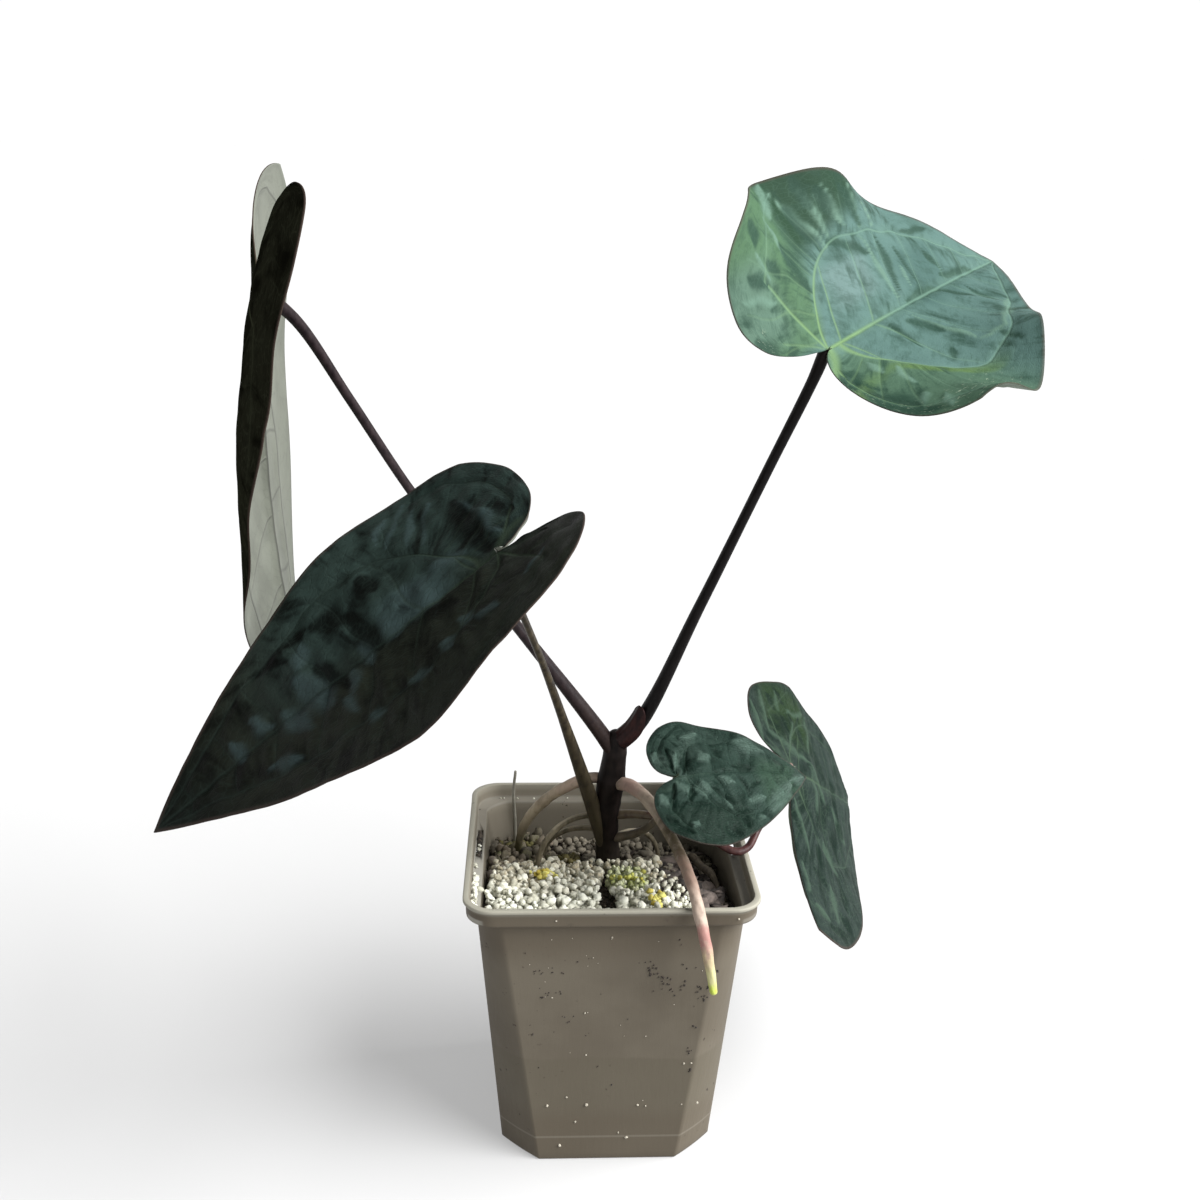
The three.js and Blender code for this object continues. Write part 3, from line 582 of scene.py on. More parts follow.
def pot_shell(finish):
    """The moulded pot: rings up the outer wall, over collar and lip, and down inside, then slots and drains.

    A smooth noise makes shallow dents in the middle of each face.
    """
    top, lip = POT["height"], POT["height"] - POT["lip_height"]
    collar, rim, wall = POT["collar_half"], POT["rim_half"], POT["wall"]
    base_edge = np.array([[0.8, 0, 0, 0], [0.25, 0, 0, 0], [0, 0, 0, 0]])
    rows = np.concatenate([
        wall_rows([0, 0.25, 0.9], 0) - base_edge,
        wall_rows(np.linspace(3, UNDER_COLLAR - 0.5, 22), 0),
        wall_rows([UNDER_COLLAR], -0.1),
        rim_rows([
            (collar - 0.7, UNDER_COLLAR + 0.05), (collar - 0.35, UNDER_COLLAR + 0.3),
            (collar - 0.25, UNDER_COLLAR + 0.9), (collar - 0.1, lip - 1.0), (collar, lip - 0.2),
            (collar + 0.15, lip), (rim - 0.2, lip + 0.05), (rim, lip + 0.35), (rim, top - 0.4),
            (rim - 0.12, top - 0.12), (rim - 0.4, top), (INSIDE_COLLAR + 0.4, top),
            (INSIDE_COLLAR + 0.1, top - 0.12), (INSIDE_COLLAR, top - 0.4),
            (INSIDE_COLLAR - 0.3, LEDGE_TOP + 0.5), (INSIDE_COLLAR - 0.6, LEDGE_TOP + 0.05)]),
        wall_rows([LEDGE_TOP], wall - 0.25),
        wall_rows([LEDGE_TOP - 0.35], wall),
        wall_rows(np.linspace(LEDGE_TOP - 4, FLOOR_TOP + 1, 14), wall),
        wall_rows([FLOOR_TOP], wall + 0.6),
    ])
    rings = square_rings(*rows.T)
    x, y = np.abs(rings[..., :1]), np.abs(rings[..., 1:2])
    outward = rings[..., :2] / np.maximum(np.hypot(x, y), 1)
    dents = sine_noise(rings, 60, 5)[..., None] * 0.22 * ease(np.abs(x - y), 0, 30)
    rings[..., :2] -= outward * np.maximum(dents, 0)
    points, faces = closed_loft(rings)
    piece = make_piece("pot_shell", points, faces, [finish], ["pot"])
    offset = POT["drain_offset"]
    half = np.array((POT["slot_width"], POT["slot_length"])) / 2
    cutters = [box_cutter((*(middle - half), UNDER_COLLAR - 2.5), (*(middle + half), LEDGE_TOP + 2.5))
               for middle in (np.array((x, POT["slot_y"])) for x in (-LEDGE_MIDDLE, LEDGE_MIDDLE))]
    cutters += [drain_cutter(x, y) for x, y in ((offset, 0), (0, offset), (-offset, 0), (0, -offset))]
    cut_away(piece, cutters)


# The mix and what lies on it

def mix_height(x, y):
    """Height of the mix: it rises from the back to the front, dips at the right, and has small lumps."""
    half = half_width(MIX["back_height"], 0)
    forward = ease(-y, -half, half * 0.7)
    right = ease(x, 0.2 * half, half) * ease(y, -half, 0)
    rise = (MIX["front_height"] - MIX["back_height"]) * forward
    waves = np.sin(0.71 * x + 1.3 * np.sin(0.33 * y)) * np.cos(0.64 * y + 0.9 * np.sin(0.41 * x))
    return MIX["back_height"] + rise - MIX["right_dip"] * right + MIX["lump"] * waves


def mix_body(finish):
    """The dark mix: rings up the pot's inside, then over the top in rings that shrink to its middle.

    The top follows the height of the mix, widens a little where it is higher, and is roughened by two noises.
    """
    inset = POT["wall"] + 0.35
    side = square_rings(*wall_rows(np.linspace(FLOOR_TOP + 0.3, MIX["back_height"] - 3, 8), inset).T)
    edge = square_rings(*wall_rows([MIX["back_height"]], inset).T)[0]
    shrink = np.linspace(1, 0.02, 46)[:, None]
    x, y = edge[None, :, 0] * shrink, edge[None, :, 1] * shrink
    z = mix_height(x, y)
    spread = 1 + (z - MIX["back_height"]) * 0.0018 * shrink
    top = np.stack([x * spread, y * spread, z], axis=-1)
    top[..., 2] += 0.7 * sine_noise(top, 5, 11) + 0.35 * sine_noise(top, 2.2, 12)
    points, faces = closed_loft(np.concatenate([side, top]))
    make_piece("potting_mix_surface", points, faces, [finish], ["potting_mix"])


BALL_FACES = [
    (0, 11, 5), (0, 5, 1), (0, 1, 7), (0, 7, 10), (0, 10, 11), (1, 5, 9), (5, 11, 4), (11, 10, 2), (10, 7, 6),
    (7, 1, 8), (3, 9, 4), (3, 4, 2), (3, 2, 6), (3, 6, 8), (3, 8, 9), (4, 9, 5), (2, 4, 11), (6, 2, 10),
    (8, 6, 7), (9, 8, 1)]


def ball(cuts):
    """A round ball of triangles: an icosahedron whose faces are split in four, cuts times."""
    g = (1 + 5 ** 0.5) / 2
    points = np.array([(-1, g, 0), (1, g, 0), (-1, -g, 0), (1, -g, 0), (0, -1, g), (0, 1, g), (0, -1, -g),
                       (0, 1, -g), (g, 0, -1), (g, 0, 1), (-g, 0, -1), (-g, 0, 1)])
    faces = np.array(BALL_FACES)
    for _ in range(cuts):
        a, b, c = points[faces[:, 0]], points[faces[:, 1]], points[faces[:, 2]]
        corners = np.concatenate([a, b, c, (a + b) / 2, (b + c) / 2, (c + a) / 2])
        first = np.arange(len(faces))
        a, b, c, ab, bc, ca = [first + part * len(faces) for part in range(6)]
        parts = [(a, ab, ca), (ab, b, bc), (ca, bc, c), (ab, bc, ca)]
        points, merge = np.unique(np.round(corners, 6), axis=0, return_inverse=True)
        faces = merge.ravel()[np.concatenate([np.stack(part, -1) for part in parts])]
    return points / np.linalg.norm(points, axis=1, keepdims=True), faces


def quaternion_matrices(q):
    """The rotation matrix of each quaternion."""
    q = q / np.linalg.norm(q, axis=1, keepdims=True)
    w, x, y, z = q.T
    return np.stack([
        np.stack([1 - 2 * (y * y + z * z), 2 * (x * y - z * w), 2 * (x * z + y * w)], -1),
        np.stack([2 * (x * y + z * w), 1 - 2 * (x * x + z * z), 2 * (y * z - x * w)], -1),
        np.stack([2 * (x * z - y * w), 2 * (y * z + x * w), 1 - 2 * (x * x + y * y)], -1)], 1)


def random_turns(random, count):
    """Rotation matrices spread evenly over all turns, from random quaternions."""
    return quaternion_matrices(random.normal(size=(count, 4)))


def lying_turns(random, count):
    """The same for flat pieces that lie about level: any way round, tilted a little."""
    half = random.uniform(0, math.pi, count)
    q = np.stack([np.cos(half), *random.normal(0, 0.16, (2, count)), np.sin(half)], -1)
    return quaternion_matrices(q)


def lumps(name, centres, sizes, finish, seed, replaces=(), cuts=1, rough=0.28, flat=0.45, tint=0,
          lying=None):
    """Many rough lumps in one mesh: a ball stretched, dented at its corners and turned, once for each centre.

    rough is the depth of the dents and flat the most that an axis is shortened. lying gives the three axes of
    flat pieces that lie about level. Each lump has its own random shade and its tint as fields.
    """
    random = np.random.default_rng(seed)
    base, faces = ball(cuts)
    count = len(centres)
    stretch = 1 - flat * random.uniform(0, 1, (count, 1, 3))
    dent = 1 + rough * random.uniform(-1, 1, (count, len(base), 1))
    shapes = base[None] * stretch * dent * np.reshape(sizes, (-1, 1, 1))
    if lying is not None:
        shapes = shapes * np.array(lying)
    turns = random_turns(random, count) if lying is None else lying_turns(random, count)
    points = np.einsum("nij,nvj->nvi", turns, shapes) + centres[:, None]
    all_faces = faces[None] + (np.arange(count) * len(base))[:, None, None]
    shade = random.uniform(0, 1, count)
    fields = {"shade": np.repeat(shade, len(base)), "tint": np.repeat(tint + 0 * shade, len(base))}
    make_piece(name, points.reshape(-1, 3), [all_faces.reshape(-1, 3)], [finish], replaces, fields)


def lattice(spacing, wanted, random, jitter=0.4):
    """Points on a triangular lattice over the pot's mouth, each moved a little, kept where wanted says so."""
    reach = POT["collar_half"]
    rows = np.arange(-reach, reach, spacing * 3 ** 0.5 / 2)
    columns = np.arange(-reach, reach, spacing)
    y, x = np.meshgrid(rows, columns, indexing="ij")
    x = x + (np.arange(len(rows)) % 2)[:, None] * spacing / 2
    x = (x + random.uniform(-jitter, jitter, x.shape) * spacing).ravel()
    y = (y + random.uniform(-jitter, jitter, y.shape) * spacing).ravel()
    keep = wanted(x, y)
    return x[keep], y[keep]


CORNER_INSIDE = 8.0


def inside_pot(x, y, z, margin):
    """Whether a point is inside the pot's wall, its rounded corners too, by at least a margin."""
    wall = wall_rows(z, POT["wall"])[:, 0]
    half = np.where(z < LEDGE_TOP, wall, INSIDE_COLLAR - 0.3) - margin
    past_x, past_y = np.abs(x) - half, np.abs(y) - half
    in_corner = np.hypot(np.maximum(past_x + CORNER_INSIDE, 0), np.maximum(past_y + CORNER_INSIDE, 0))
    return (past_x < 0) & (past_y < 0) & (in_corner < CORNER_INSIDE)


# Regions of the mix, seen from above, each true where its grains lie

def in_bark(x, y):
    return (x > 15) & (y > -28) & (x - y / 3 > 17)


def in_bark_and_front_corner(x, y):
    return in_bark(x, y) | (x > 27) & (y < -20)


def in_moss(x, y):
    return np.hypot(x - 7.5, (y + 11) * 0.6) < 8


def in_grey(x, y):
    return (x < -20) & (y > 6) & (y - x / 3 > 16)


def in_gap(x, y):
    """A dark gap between the grains, in front of the stem."""
    return (np.abs(x + 1 + 0.8 * np.sin(y / 4)) < 2.2 + 1.2 * ease(-y, 24, 32)) & (y > -37) & (y < 5)


def in_white(x, y):
    return (y < 10) & (x < 28) & ~in_bark(x, y) & ~in_moss(x, y) & ~in_grey(x, y) & ~in_gap(x, y)


def in_pale(x, y):
    """Pale grains strewn over the left of the bark."""
    return (x > 14) & (x < 31 - 0.25 * (y + 40)) & (y > -31) & (y < -6)


def at_the_back(x, y):
    return (y > 2) & ~in_grey(x, y)


def everywhere(x, y):
    return np.abs(x) < 60


# How much of its tint each grain has, from the grains' centres

def creamier_at_the_back(centres, random):
    ragged = centres[:, 1] + random.normal(0, 6, len(centres))
    return ease(ragged, -26, -6) * random.uniform(0.3, 1, len(centres))


def mostly_tinted(centres, random):
    return random.uniform(0, 1, len(centres)) ** 0.6


def seldom_tinted(centres, random):
    return random.uniform(0, 1, len(centres)) ** 3


def only_in_gap(centres, random):
    return in_gap(centres[:, 0], centres[:, 1]) * 1.0


def plain(centres, random):
    return 0


def grain_bed(name, wanted, finish, layers, seed, replaces=(), tint=plain, lying=None):
    """Layers of grains: each is spacing, smallest and largest radius, and height over the mix."""
    random = np.random.default_rng(seed)
    centres, sizes = [], []
    for spacing, small, large, height in layers:
        x, y = lattice(spacing, wanted, random)
        size = small + (large - small) * random.uniform(0, 1, len(x)) ** 1.6
        z = mix_height(x, y) + height + random.uniform(-0.5, 0.5, len(x))
        keep = inside_pot(x, y, z, size + 0.5)
        centres.append(np.stack([x, y, z], -1)[keep])
        sizes.append(size[keep])
    centres = np.concatenate(centres)
    lumps(name, centres, np.concatenate(sizes), finish, seed + 1, replaces, tint=tint(centres, random),
          lying=lying)


def clusters(name, places, finish, seed, height):
    """Small heaps on the mix: each is x, y, radius of the heap, and the lumps' number, radius and tint."""
    random = np.random.default_rng(seed)
    centres, sizes, tints = [], [], []
    for middle_x, middle_y, reach, count, size, tint in places:
        away = random.normal(0, reach / 2, (2, count))
        x, y = middle_x + away[0], middle_y + away[1]
        centres.append(np.stack([x, y, mix_height(x, y) + height + random.uniform(0, 1.2, count)], -1))
        sizes.append(size * random.uniform(0.75, 1.2, count))
        tints.append(np.full(count, tint))
    lumps(name, np.concatenate(centres), np.concatenate(sizes), finish, seed + 1,
          tint=np.concatenate(tints))


def wall_specks(name, places, finish, seed):
    """Specks on the pot's front face and collar: each place is x, z, spread in x and z, number and radius."""
    random = np.random.default_rng(seed)
    centres, sizes = [], []
    for x, z, wide, tall, count, size in places:
        x = x + wide * random.uniform(-1, 1, count)
        z = z + tall * random.uniform(-1, 1, count)
        y = -np.where(z < UNDER_COLLAR, wall_rows(z, 0)[:, 0], POT["collar_half"])
        centres.append(np.stack([x, y, z], -1))
        sizes.append(size * random.uniform(0.7, 1.15, count))
    lumps(name, np.concatenate(centres), np.concatenate(sizes), finish, seed + 1, rough=0.2)


# Leaves

def half_outline(samples):
    """The half outline as a smooth curve through its points, at equal steps of its parameter."""
    points = np.array(HALF_OUTLINE)
    places = np.linspace(0, len(HALF_OUTLINE) - 1, samples + 1)[1:]
    a, b, c, d, t, _ = spans(np.concatenate([points[:1], points, points[-1:]]), places)
    return cubic(t, b, c, (c - a) / 2, (d - b) / 2)


def turned(vector, axis, angle):
    """The vector turned about a unit axis."""
    vector, axis = np.array(vector, float), np.array(axis, float)
    return (vector * math.cos(angle) + np.cross(axis, vector) * math.sin(angle)
            + axis * (axis @ vector) * (1 - math.cos(angle)))


def blade_axes(leaf):
    """The blade's midrib, upper face and left half."""
    about_view, about_vertical, about_midrib = leaf["turn"]
    midrib, face = [turned(turned(v, (0, -1, 0), about_view), (0, 0, 1), about_vertical)
                    for v in ((1, 0, 0), (0, -1, 0))]
    face = turned(face, midrib, about_midrib)
    return midrib, face, np.cross(face, midrib)


def not_zero(value):
    """The value, or a very small one in place of none, so that it can be divided by."""
    return np.where(np.abs(value) < 1e-6, 1e-6, value)


def bent_blade(leaf, x, y, half):
    """Flat places (x along the midrib, y across) on the arched, twisted, folded, curled and waved blade.

    The midrib is an arc ahead of the foot and another behind it. Across it, each half leaves at its fold
    angle and curls at a steady rate, and the blade waves along its length, more the nearer to the margin.
    """
    midrib, face, left = blade_axes(leaf)
    length = leaf["length"]
    by_half = ("fold", "curl", "width", "wave", "phase")
    fold, curl, width, wave, phase = [np.take(leaf[key], half) for key in by_half]
    side = 1.0 - 2 * half
    bend = not_zero(np.where(x > 0, leaf["arch"][0], leaf["arch"][1])) / length
    angle = (bend * x)[..., None]
    bend = bend[..., None]
    point = np.array(leaf["foot"]) + np.sin(angle) / bend * midrib - (1 - np.cos(angle)) / bend * face
    up = np.sin(angle) * midrib + np.cos(angle) * face
    turn = (leaf["twist"] * x / length)[..., None]
    across = np.cos(turn) * left + np.sin(turn) * up
    above = np.cos(turn) * up - np.sin(turn) * left
    curl = not_zero(curl) / length
    out = np.abs(y)
    slope = fold + curl * out
    edge = out / (WIDEST * length * width)
    lift = wave * length * edge ** 2 * np.sin(2 * math.pi * WAVES * x / length + phase)
    sideways = (np.sin(slope) - np.sin(fold)) / curl - lift * np.sin(slope)
    upward = (np.cos(fold) - np.cos(slope)) / curl + lift * np.cos(slope)
    return point + (side * sideways)[..., None] * across + upward[..., None] * above


BOW_WIDTH = 0.36
BOW_POWER = 2.6
LATERAL_SPACING = 0.135
SPOKE_ANGLE = 0.25
SPOKE_CENTRE = 0.2
NONE_HERE = 0.3


def vein_lines(x, y, edge):
    """Distances to the veins in blade lengths, at a flat place x, y and its share of the way to the margin.

    The midrib runs along x. A basal vein leaves the foot across the midrib and bends forward into the
    collective vein, the curve y squared = 0.36 x (1 - x) to the power 2.6, which starts flatter and swings
    wider in the right half; its distance is the formula's value over its steepness. A second basal vein
    enters the hind lobe and returns as a ring nearer the margin. Laterals leave the midrib almost square, and
    fine ones run from the collective vein to the margin, away from a centre on the midrib. Where a vein
    doesn't run, NONE_HERE is added to its distance.
    """
    a = abs(y)
    r = power(x * x + a * a + 1e-8, 0.5)
    wobble = 0.010 * sine(17 * x + 9 * y) + 0.006 * sine(41 * x - 23 * y)
    behind = least(x, 0.0)
    midrib = power(a * a + behind * behind, 0.5)
    left = 1 - least(x, 0.999)
    swing = 1 + (1.5 * ease(x, 0.0, 0.3) - 1) * ease(y, 0.001, -0.001)
    bow = a * a - BOW_WIDTH * x * power(left, BOW_POWER) * swing
    steep_x = BOW_WIDTH * power(left, BOW_POWER) - BOW_WIDTH * BOW_POWER * x * power(left, BOW_POWER - 1)
    signed = bow / power(steep_x * steep_x + 4 * a * a + 1e-5, 0.5) + 0.5 * wobble
    angle = bearing(a, x)
    beyond = ease(signed, -0.004, 0.006)
    ring = abs(edge - (0.63 + 0.31 * (2.1 - angle)) + 2.5 * wobble) * r
    ring = ring + NONE_HERE * ease(angle, 2.05, 2.2) + NONE_HERE * ease(angle, 1.25, 1.05)
    lobe = abs(angle - 2.12 + 0.4 * r) * r + NONE_HERE * ease(edge, 0.62, 0.72)
    hind = abs(angle - 2.62 - 0.5 * r) * r + NONE_HERE * ease(edge, 0.6, 0.8)
    row = (x - 0.30 * a + wobble - 0.07) / LATERAL_SPACING
    lateral = abs(row - whole(row)) * LATERAL_SPACING + NONE_HERE * beyond + NONE_HERE * ease(x, 0.02, 0.0)
    out_x = x - SPOKE_CENTRE
    spoke = (bearing(a, out_x) + 3 * wobble) / SPOKE_ANGLE
    fan = abs(spoke - whole(spoke)) * SPOKE_ANGLE * power(out_x * out_x + a * a, 0.5)
    fan = fan + NONE_HERE * (1 - beyond) + NONE_HERE * ease(edge, 0.86, 0.97)
    return dict(midrib=midrib, collective=abs(signed), ring=ring, lobe=lobe, hind=hind, lateral=lateral,
                fan=fan, beyond=beyond, angle=angle, reach=r, row=row, spoke=spoke)


def vein_sum(lines, widths):
    """How much a place is vein, 0 to 1: the strongest of the lines, each with its own width."""
    total = 0.0
    for name, (width, strength) in widths.items():
        mark = strength * sink(lines[name], width)
        total = mark if isinstance(total, float) else most(total, mark)
    return total


# Width of each vein in blade lengths and its strength, as relief and as colour
RELIEF = dict(midrib=(0.030, 1.0), collective=(0.028, 0.8), ring=(0.026, 0.6), lobe=(0.026, 0.6),
              hind=(0.024, 0.5), lateral=(0.030, 0.7), fan=(0.022, 0.2))
VEIN_MARKS = dict(midrib=(0.008, 1.0), collective=(0.006, 0.85), ring=(0.006, 0.55), lobe=(0.007, 0.8),
                  hind=(0.005, 0.35), lateral=(0.006, 0.55), fan=(0.005, 0.22))


# Dark and pale strokes seen on each blade: both ends on the flat blade and half the width, in blade lengths.
# The dark ones are partly painted shade in grooves and round bumps; the pale ones are partly pale veins and
# partly painted sheen and highlights on bumps.
DARK_STROKES_AND_SHADE = {
    "upper_right": [
        (0.33, 0.32, 0.35, 0.21, 0.022), (0.24, 0.33, 0.26, 0.25, 0.02), (0.20, 0.37, 0.20, 0.29, 0.02),
        (0.14, 0.32, 0.14, 0.23, 0.018), (0.19, 0.21, 0.31, 0.15, 0.014), (0.40, 0.17, 0.37, 0.04, 0.014),
        (0.47, 0.13, 0.47, 0.04, 0.012), (0.57, 0.17, 0.70, 0.15, 0.01), (0.60, 0.10, 0.63, 0.03, 0.012),
        (0.60, 0.02, 0.81, 0.01, 0.012), (0.38, 0.01, 0.55, 0, 0.012), (0.55, 0, 0.61, -0.08, 0.012),
        (0.65, -0.05, 0.64, -0.13, 0.014), (0.30, -0.04, 0.34, -0.11, 0.026),
        (0.24, -0.02, 0.23, -0.11, 0.01), (0.29, -0.16, 0.26, -0.18, 0.014),
        (0.56, -0.18, 0.65, -0.21, 0.014), (0.41, -0.22, 0.39, -0.28, 0.012),
        (0.36, -0.24, 0.36, -0.28, 0.012), (-0.03, -0.06, -0.05, -0.12, 0.024),
        (-0.05, -0.15, -0.03, -0.29, 0.03), (-0.19, 0.09, -0.15, 0.04, 0.026),
        (-0.12, 0.04, -0.09, 0.03, 0.018), (-0.07, 0.32, -0.08, 0.28, 0.022),
        (-0.06, 0.23, -0.05, 0.19, 0.018), (-0.14, 0.22, -0.10, 0.18, 0.018),
        (0.02, 0.24, 0.03, 0.14, 0.028)],
    "far_left": [],
    "front_left": [
        (0.05, -0.28, 0.02, -0.04, 0.028), (0.45, -0.17, 0.37, -0.14, 0.034),
        (0.37, -0.14, 0.32, 0.02, 0.03), (0.48, -0.07, 0.42, 0.05, 0.024),
        (0.31, -0.21, 0.29, -0.15, 0.026), (0.63, -0.17, 0.53, -0.13, 0.012),
        (0.21, 0.02, 0.12, 0.08, 0.02), (0.06, 0.14, 0.01, 0.08, 0.018),
        (0.53, -0.18, 0.47, -0.18, 0.018)],
    "front_right": [
        (-0.01, 0.18, -0.01, 0, 0.014), (0.11, 0.16, 0.03, 0.02, 0.016),
        (-0.03, -0.04, -0.06, -0.12, 0.013), (0.07, -0.04, 0.02, -0.16, 0.013),
        (-0.02, -0.16, 0.13, -0.17, 0.013), (0.17, -0.08, 0.28, -0.18, 0.016),
        (0.28, 0.15, 0.30, 0.10, 0.018), (0.26, -0.24, 0.38, -0.23, 0.015),
        (0.32, -0.25, 0.32, -0.33, 0.016), (0.36, 0.04, 0.47, 0.01, 0.028),
        (0.50, -0.06, 0.41, -0.10, 0.012), (0.18, -0.32, 0.26, -0.36, 0.022),
        (-0.13, -0.22, -0.03, -0.32, 0.02)],
    "hanging_right": [
        (-0.07, 0.24, -0.04, 0.20, 0.022), (0, 0.18, 0.01, 0.11, 0.028), (0.14, 0.21, 0.12, 0.12, 0.022),
        (0.26, 0.13, 0.27, 0.04, 0.032), (0.06, -0.04, 0.10, -0.10, 0.03), (0, -0.14, 0.05, -0.20, 0.012),
        (0.54, 0.12, 0.51, 0.04, 0.018), (0.36, 0.03, 0.38, -0.04, 0.026),
        (0.10, -0.30, 0.17, -0.34, 0.016), (0.30, -0.29, 0.32, -0.40, 0.02),
        (0.09, -0.49, 0.24, -0.49, 0.02), (0.47, 0.36, 0.53, 0.26, 0.016),
        (0.30, -0.16, 0.36, -0.24, 0.024), (0.15, -0.22, 0.17, -0.27, 0.02),
        (0.24, -0.42, 0.27, -0.48, 0.02), (0.18, -0.14, 0.30, -0.06, 0.034),
        (0.38, -0.10, 0.44, -0.14, 0.022)],
}
PALE_STROKES_AND_SHEEN = {
    "upper_right": [
        (0.10, 0.39, 0.05, 0.31, 0.02), (0.12, 0.36, 0.18, 0.20, 0.012), (0.20, 0.34, 0.21, 0.21, 0.012),
        (0.26, 0.33, 0.27, 0.23, 0.012), (0.37, 0.31, 0.34, 0.20, 0.012), (0.42, 0.27, 0.41, 0.19, 0.012),
        (0.32, 0.19, 0.35, 0.03, 0.011), (0.43, 0.08, 0.43, 0.03, 0.01),
        (0.34, -0.03, 0.37, -0.20, 0.009), (0.37, -0.20, 0.43, -0.22, 0.009),
        (0.43, -0.22, 0.68, -0.14, 0.009), (0.02, -0.29, -0.02, -0.32, 0.012),
        (0.01, -0.24, -0.02, -0.26, 0.01), (0.04, -0.08, 0.04, -0.12, 0.014),
        (0.08, -0.13, 0.05, -0.20, 0.014), (-0.09, 0.27, -0.09, 0.19, 0.01),
        (-0.17, 0.18, -0.09, 0.14, 0.01), (0.0, 0.31, 0.02, 0.20, 0.01)],
    "far_left": [],
    "front_left": [
        (0.05, -0.28, 0, -0.19, 0.012), (0, -0.19, -0.02, -0.07, 0.012), (0.23, -0.10, 0.17, 0.02, 0.035),
        (0.15, -0.10, 0.07, -0.08, 0.024), (0.30, -0.06, 0.27, 0.02, 0.03),
        (0.53, -0.06, 0.47, 0.06, 0.045), (0.60, -0.02, 0.53, 0.08, 0.026),
        (0.49, -0.15, 0.52, -0.09, 0.016), (0.12, 0.16, 0.09, 0.19, 0.024),
        (0.36, -0.04, 0.35, 0.05, 0.02), (0.40, 0.02, 0.40, 0.09, 0.018), (0.66, 0.10, 0.58, 0.14, 0.02),
        (0.68, -0.06, 0.63, -0.02, 0.022), (0.08, 0.20, 0.03, 0.24, 0.014),
        (-0.05, 0.20, -0.10, 0.16, 0.014), (0.73, -0.04, 0.72, 0.02, 0.02),
        (0.39, 0.19, 0.35, 0.21, 0.017), (0.27, 0.19, 0.22, 0.22, 0.018), (0.17, 0.19, 0.15, 0.22, 0.017),
        (0.43, 0.08, 0.41, 0.14, 0.018), (0.17, -0.38, 0.23, -0.26, 0.009),
        (0.14, -0.35, 0.19, -0.23, 0.009), (0.11, -0.33, 0.15, -0.20, 0.009),
        (0.21, -0.37, 0.26, -0.29, 0.009)],
    "front_right": [
        (-0.02, -0.04, 0.02, -0.10, 0.042), (0.12, -0.05, 0.11, -0.13, 0.045),
        (0.15, 0.09, 0.22, 0.11, 0.042), (0.03, 0.14, 0.01, 0.07, 0.028),
        (-0.11, 0.11, -0.07, 0.17, 0.036), (0.24, -0.03, 0.30, -0.07, 0.03),
        (0.44, 0.18, 0.60, 0.13, 0.055), (0.51, -0.23, 0.76, -0.07, 0.05),
        (0.76, -0.05, 0.94, -0.01, 0.03), (0.38, -0.17, 0.49, -0.16, 0.024),
        (0.40, -0.26, 0.43, -0.27, 0.022), (0.22, -0.15, 0.25, -0.20, 0.026),
        (-0.13, -0.10, -0.11, -0.15, 0.032), (0, -0.27, 0.02, -0.29, 0.024),
        (0.10, 0.24, 0.20, 0.24, 0.026)],
    "hanging_right": [
        (-0.13, 0.24, -0.13, 0.09, 0.016), (-0.13, 0.09, 0.15, 0.06, 0.014),
        (0.15, 0.06, 0.27, -0.05, 0.014), (-0.21, 0.16, -0.17, 0.04, 0.02),
        (-0.17, 0.04, -0.02, 0, 0.014), (0.01, -0.09, 0.06, -0.16, 0.016),
        (0.06, -0.16, 0.08, -0.26, 0.014), (0.05, 0.22, 0.06, 0.21, 0.014),
        (-0.02, 0.27, -0.02, 0.20, 0.014), (0.06, 0.21, 0.22, 0.24, 0.012),
        (0.24, 0.23, 0.16, 0.10, 0.012), (0.07, 0.18, 0.01, 0.07, 0.012),
        (0.33, -0.06, 0.46, -0.16, 0.02), (0.21, -0.19, 0.30, -0.28, 0.024),
        (0.20, -0.34, 0.19, -0.45, 0.026), (0.02, -0.30, 0.02, -0.39, 0.014),
        (0.03, -0.43, 0.12, -0.47, 0.014), (0.14, 0.04, 0.20, -0.10, 0.014)],
}


def strokes(x, y, places):
    """How far each flat place lies in a stroke: 1 on the line between its ends, fading as a bell.

    The bell's width narrows towards the ends, and the places are shaken first, so that the edges waver.
    """
    total = np.zeros(len(x))
    flat = np.stack([x, y, 0 * x], -1)
    x, y = x + 0.009 * sine_noise(flat, 0.07, 3), y + 0.009 * sine_noise(flat, 0.07, 4)
    for x0, y0, x1, y1, width in places:
        run = np.array((x1 - x0, y1 - y0)) + 1e-6
        share = np.clip(((x - x0) * run[0] + (y - y0) * run[1]) / (run @ run), 0, 1)
        away = np.hypot(x - x0 - share * run[0], y - y0 - share * run[1])
        total = np.maximum(total, np.exp(-(away / (width * (0.45 + 0.75 * np.sin(math.pi * share)))) ** 2))
    return total


def smooth_normals(points, groups):
    """Normals at the points: the sum of the normals of the quads and triangles round each."""
    normals = np.zeros_like(points)
    for faces in groups:
        a, b, c, d = [points[faces[:, k % faces.shape[1]]] for k in range(4)]
        face_normals = np.cross(c - a, d - b)
        for corner in faces.T:
            np.add.at(normals, corner, face_normals)
    return normals / np.linalg.norm(normals, axis=1, keepdims=True)


BLADE_COLUMNS = 150
BLADE_THICKNESS = 0.62


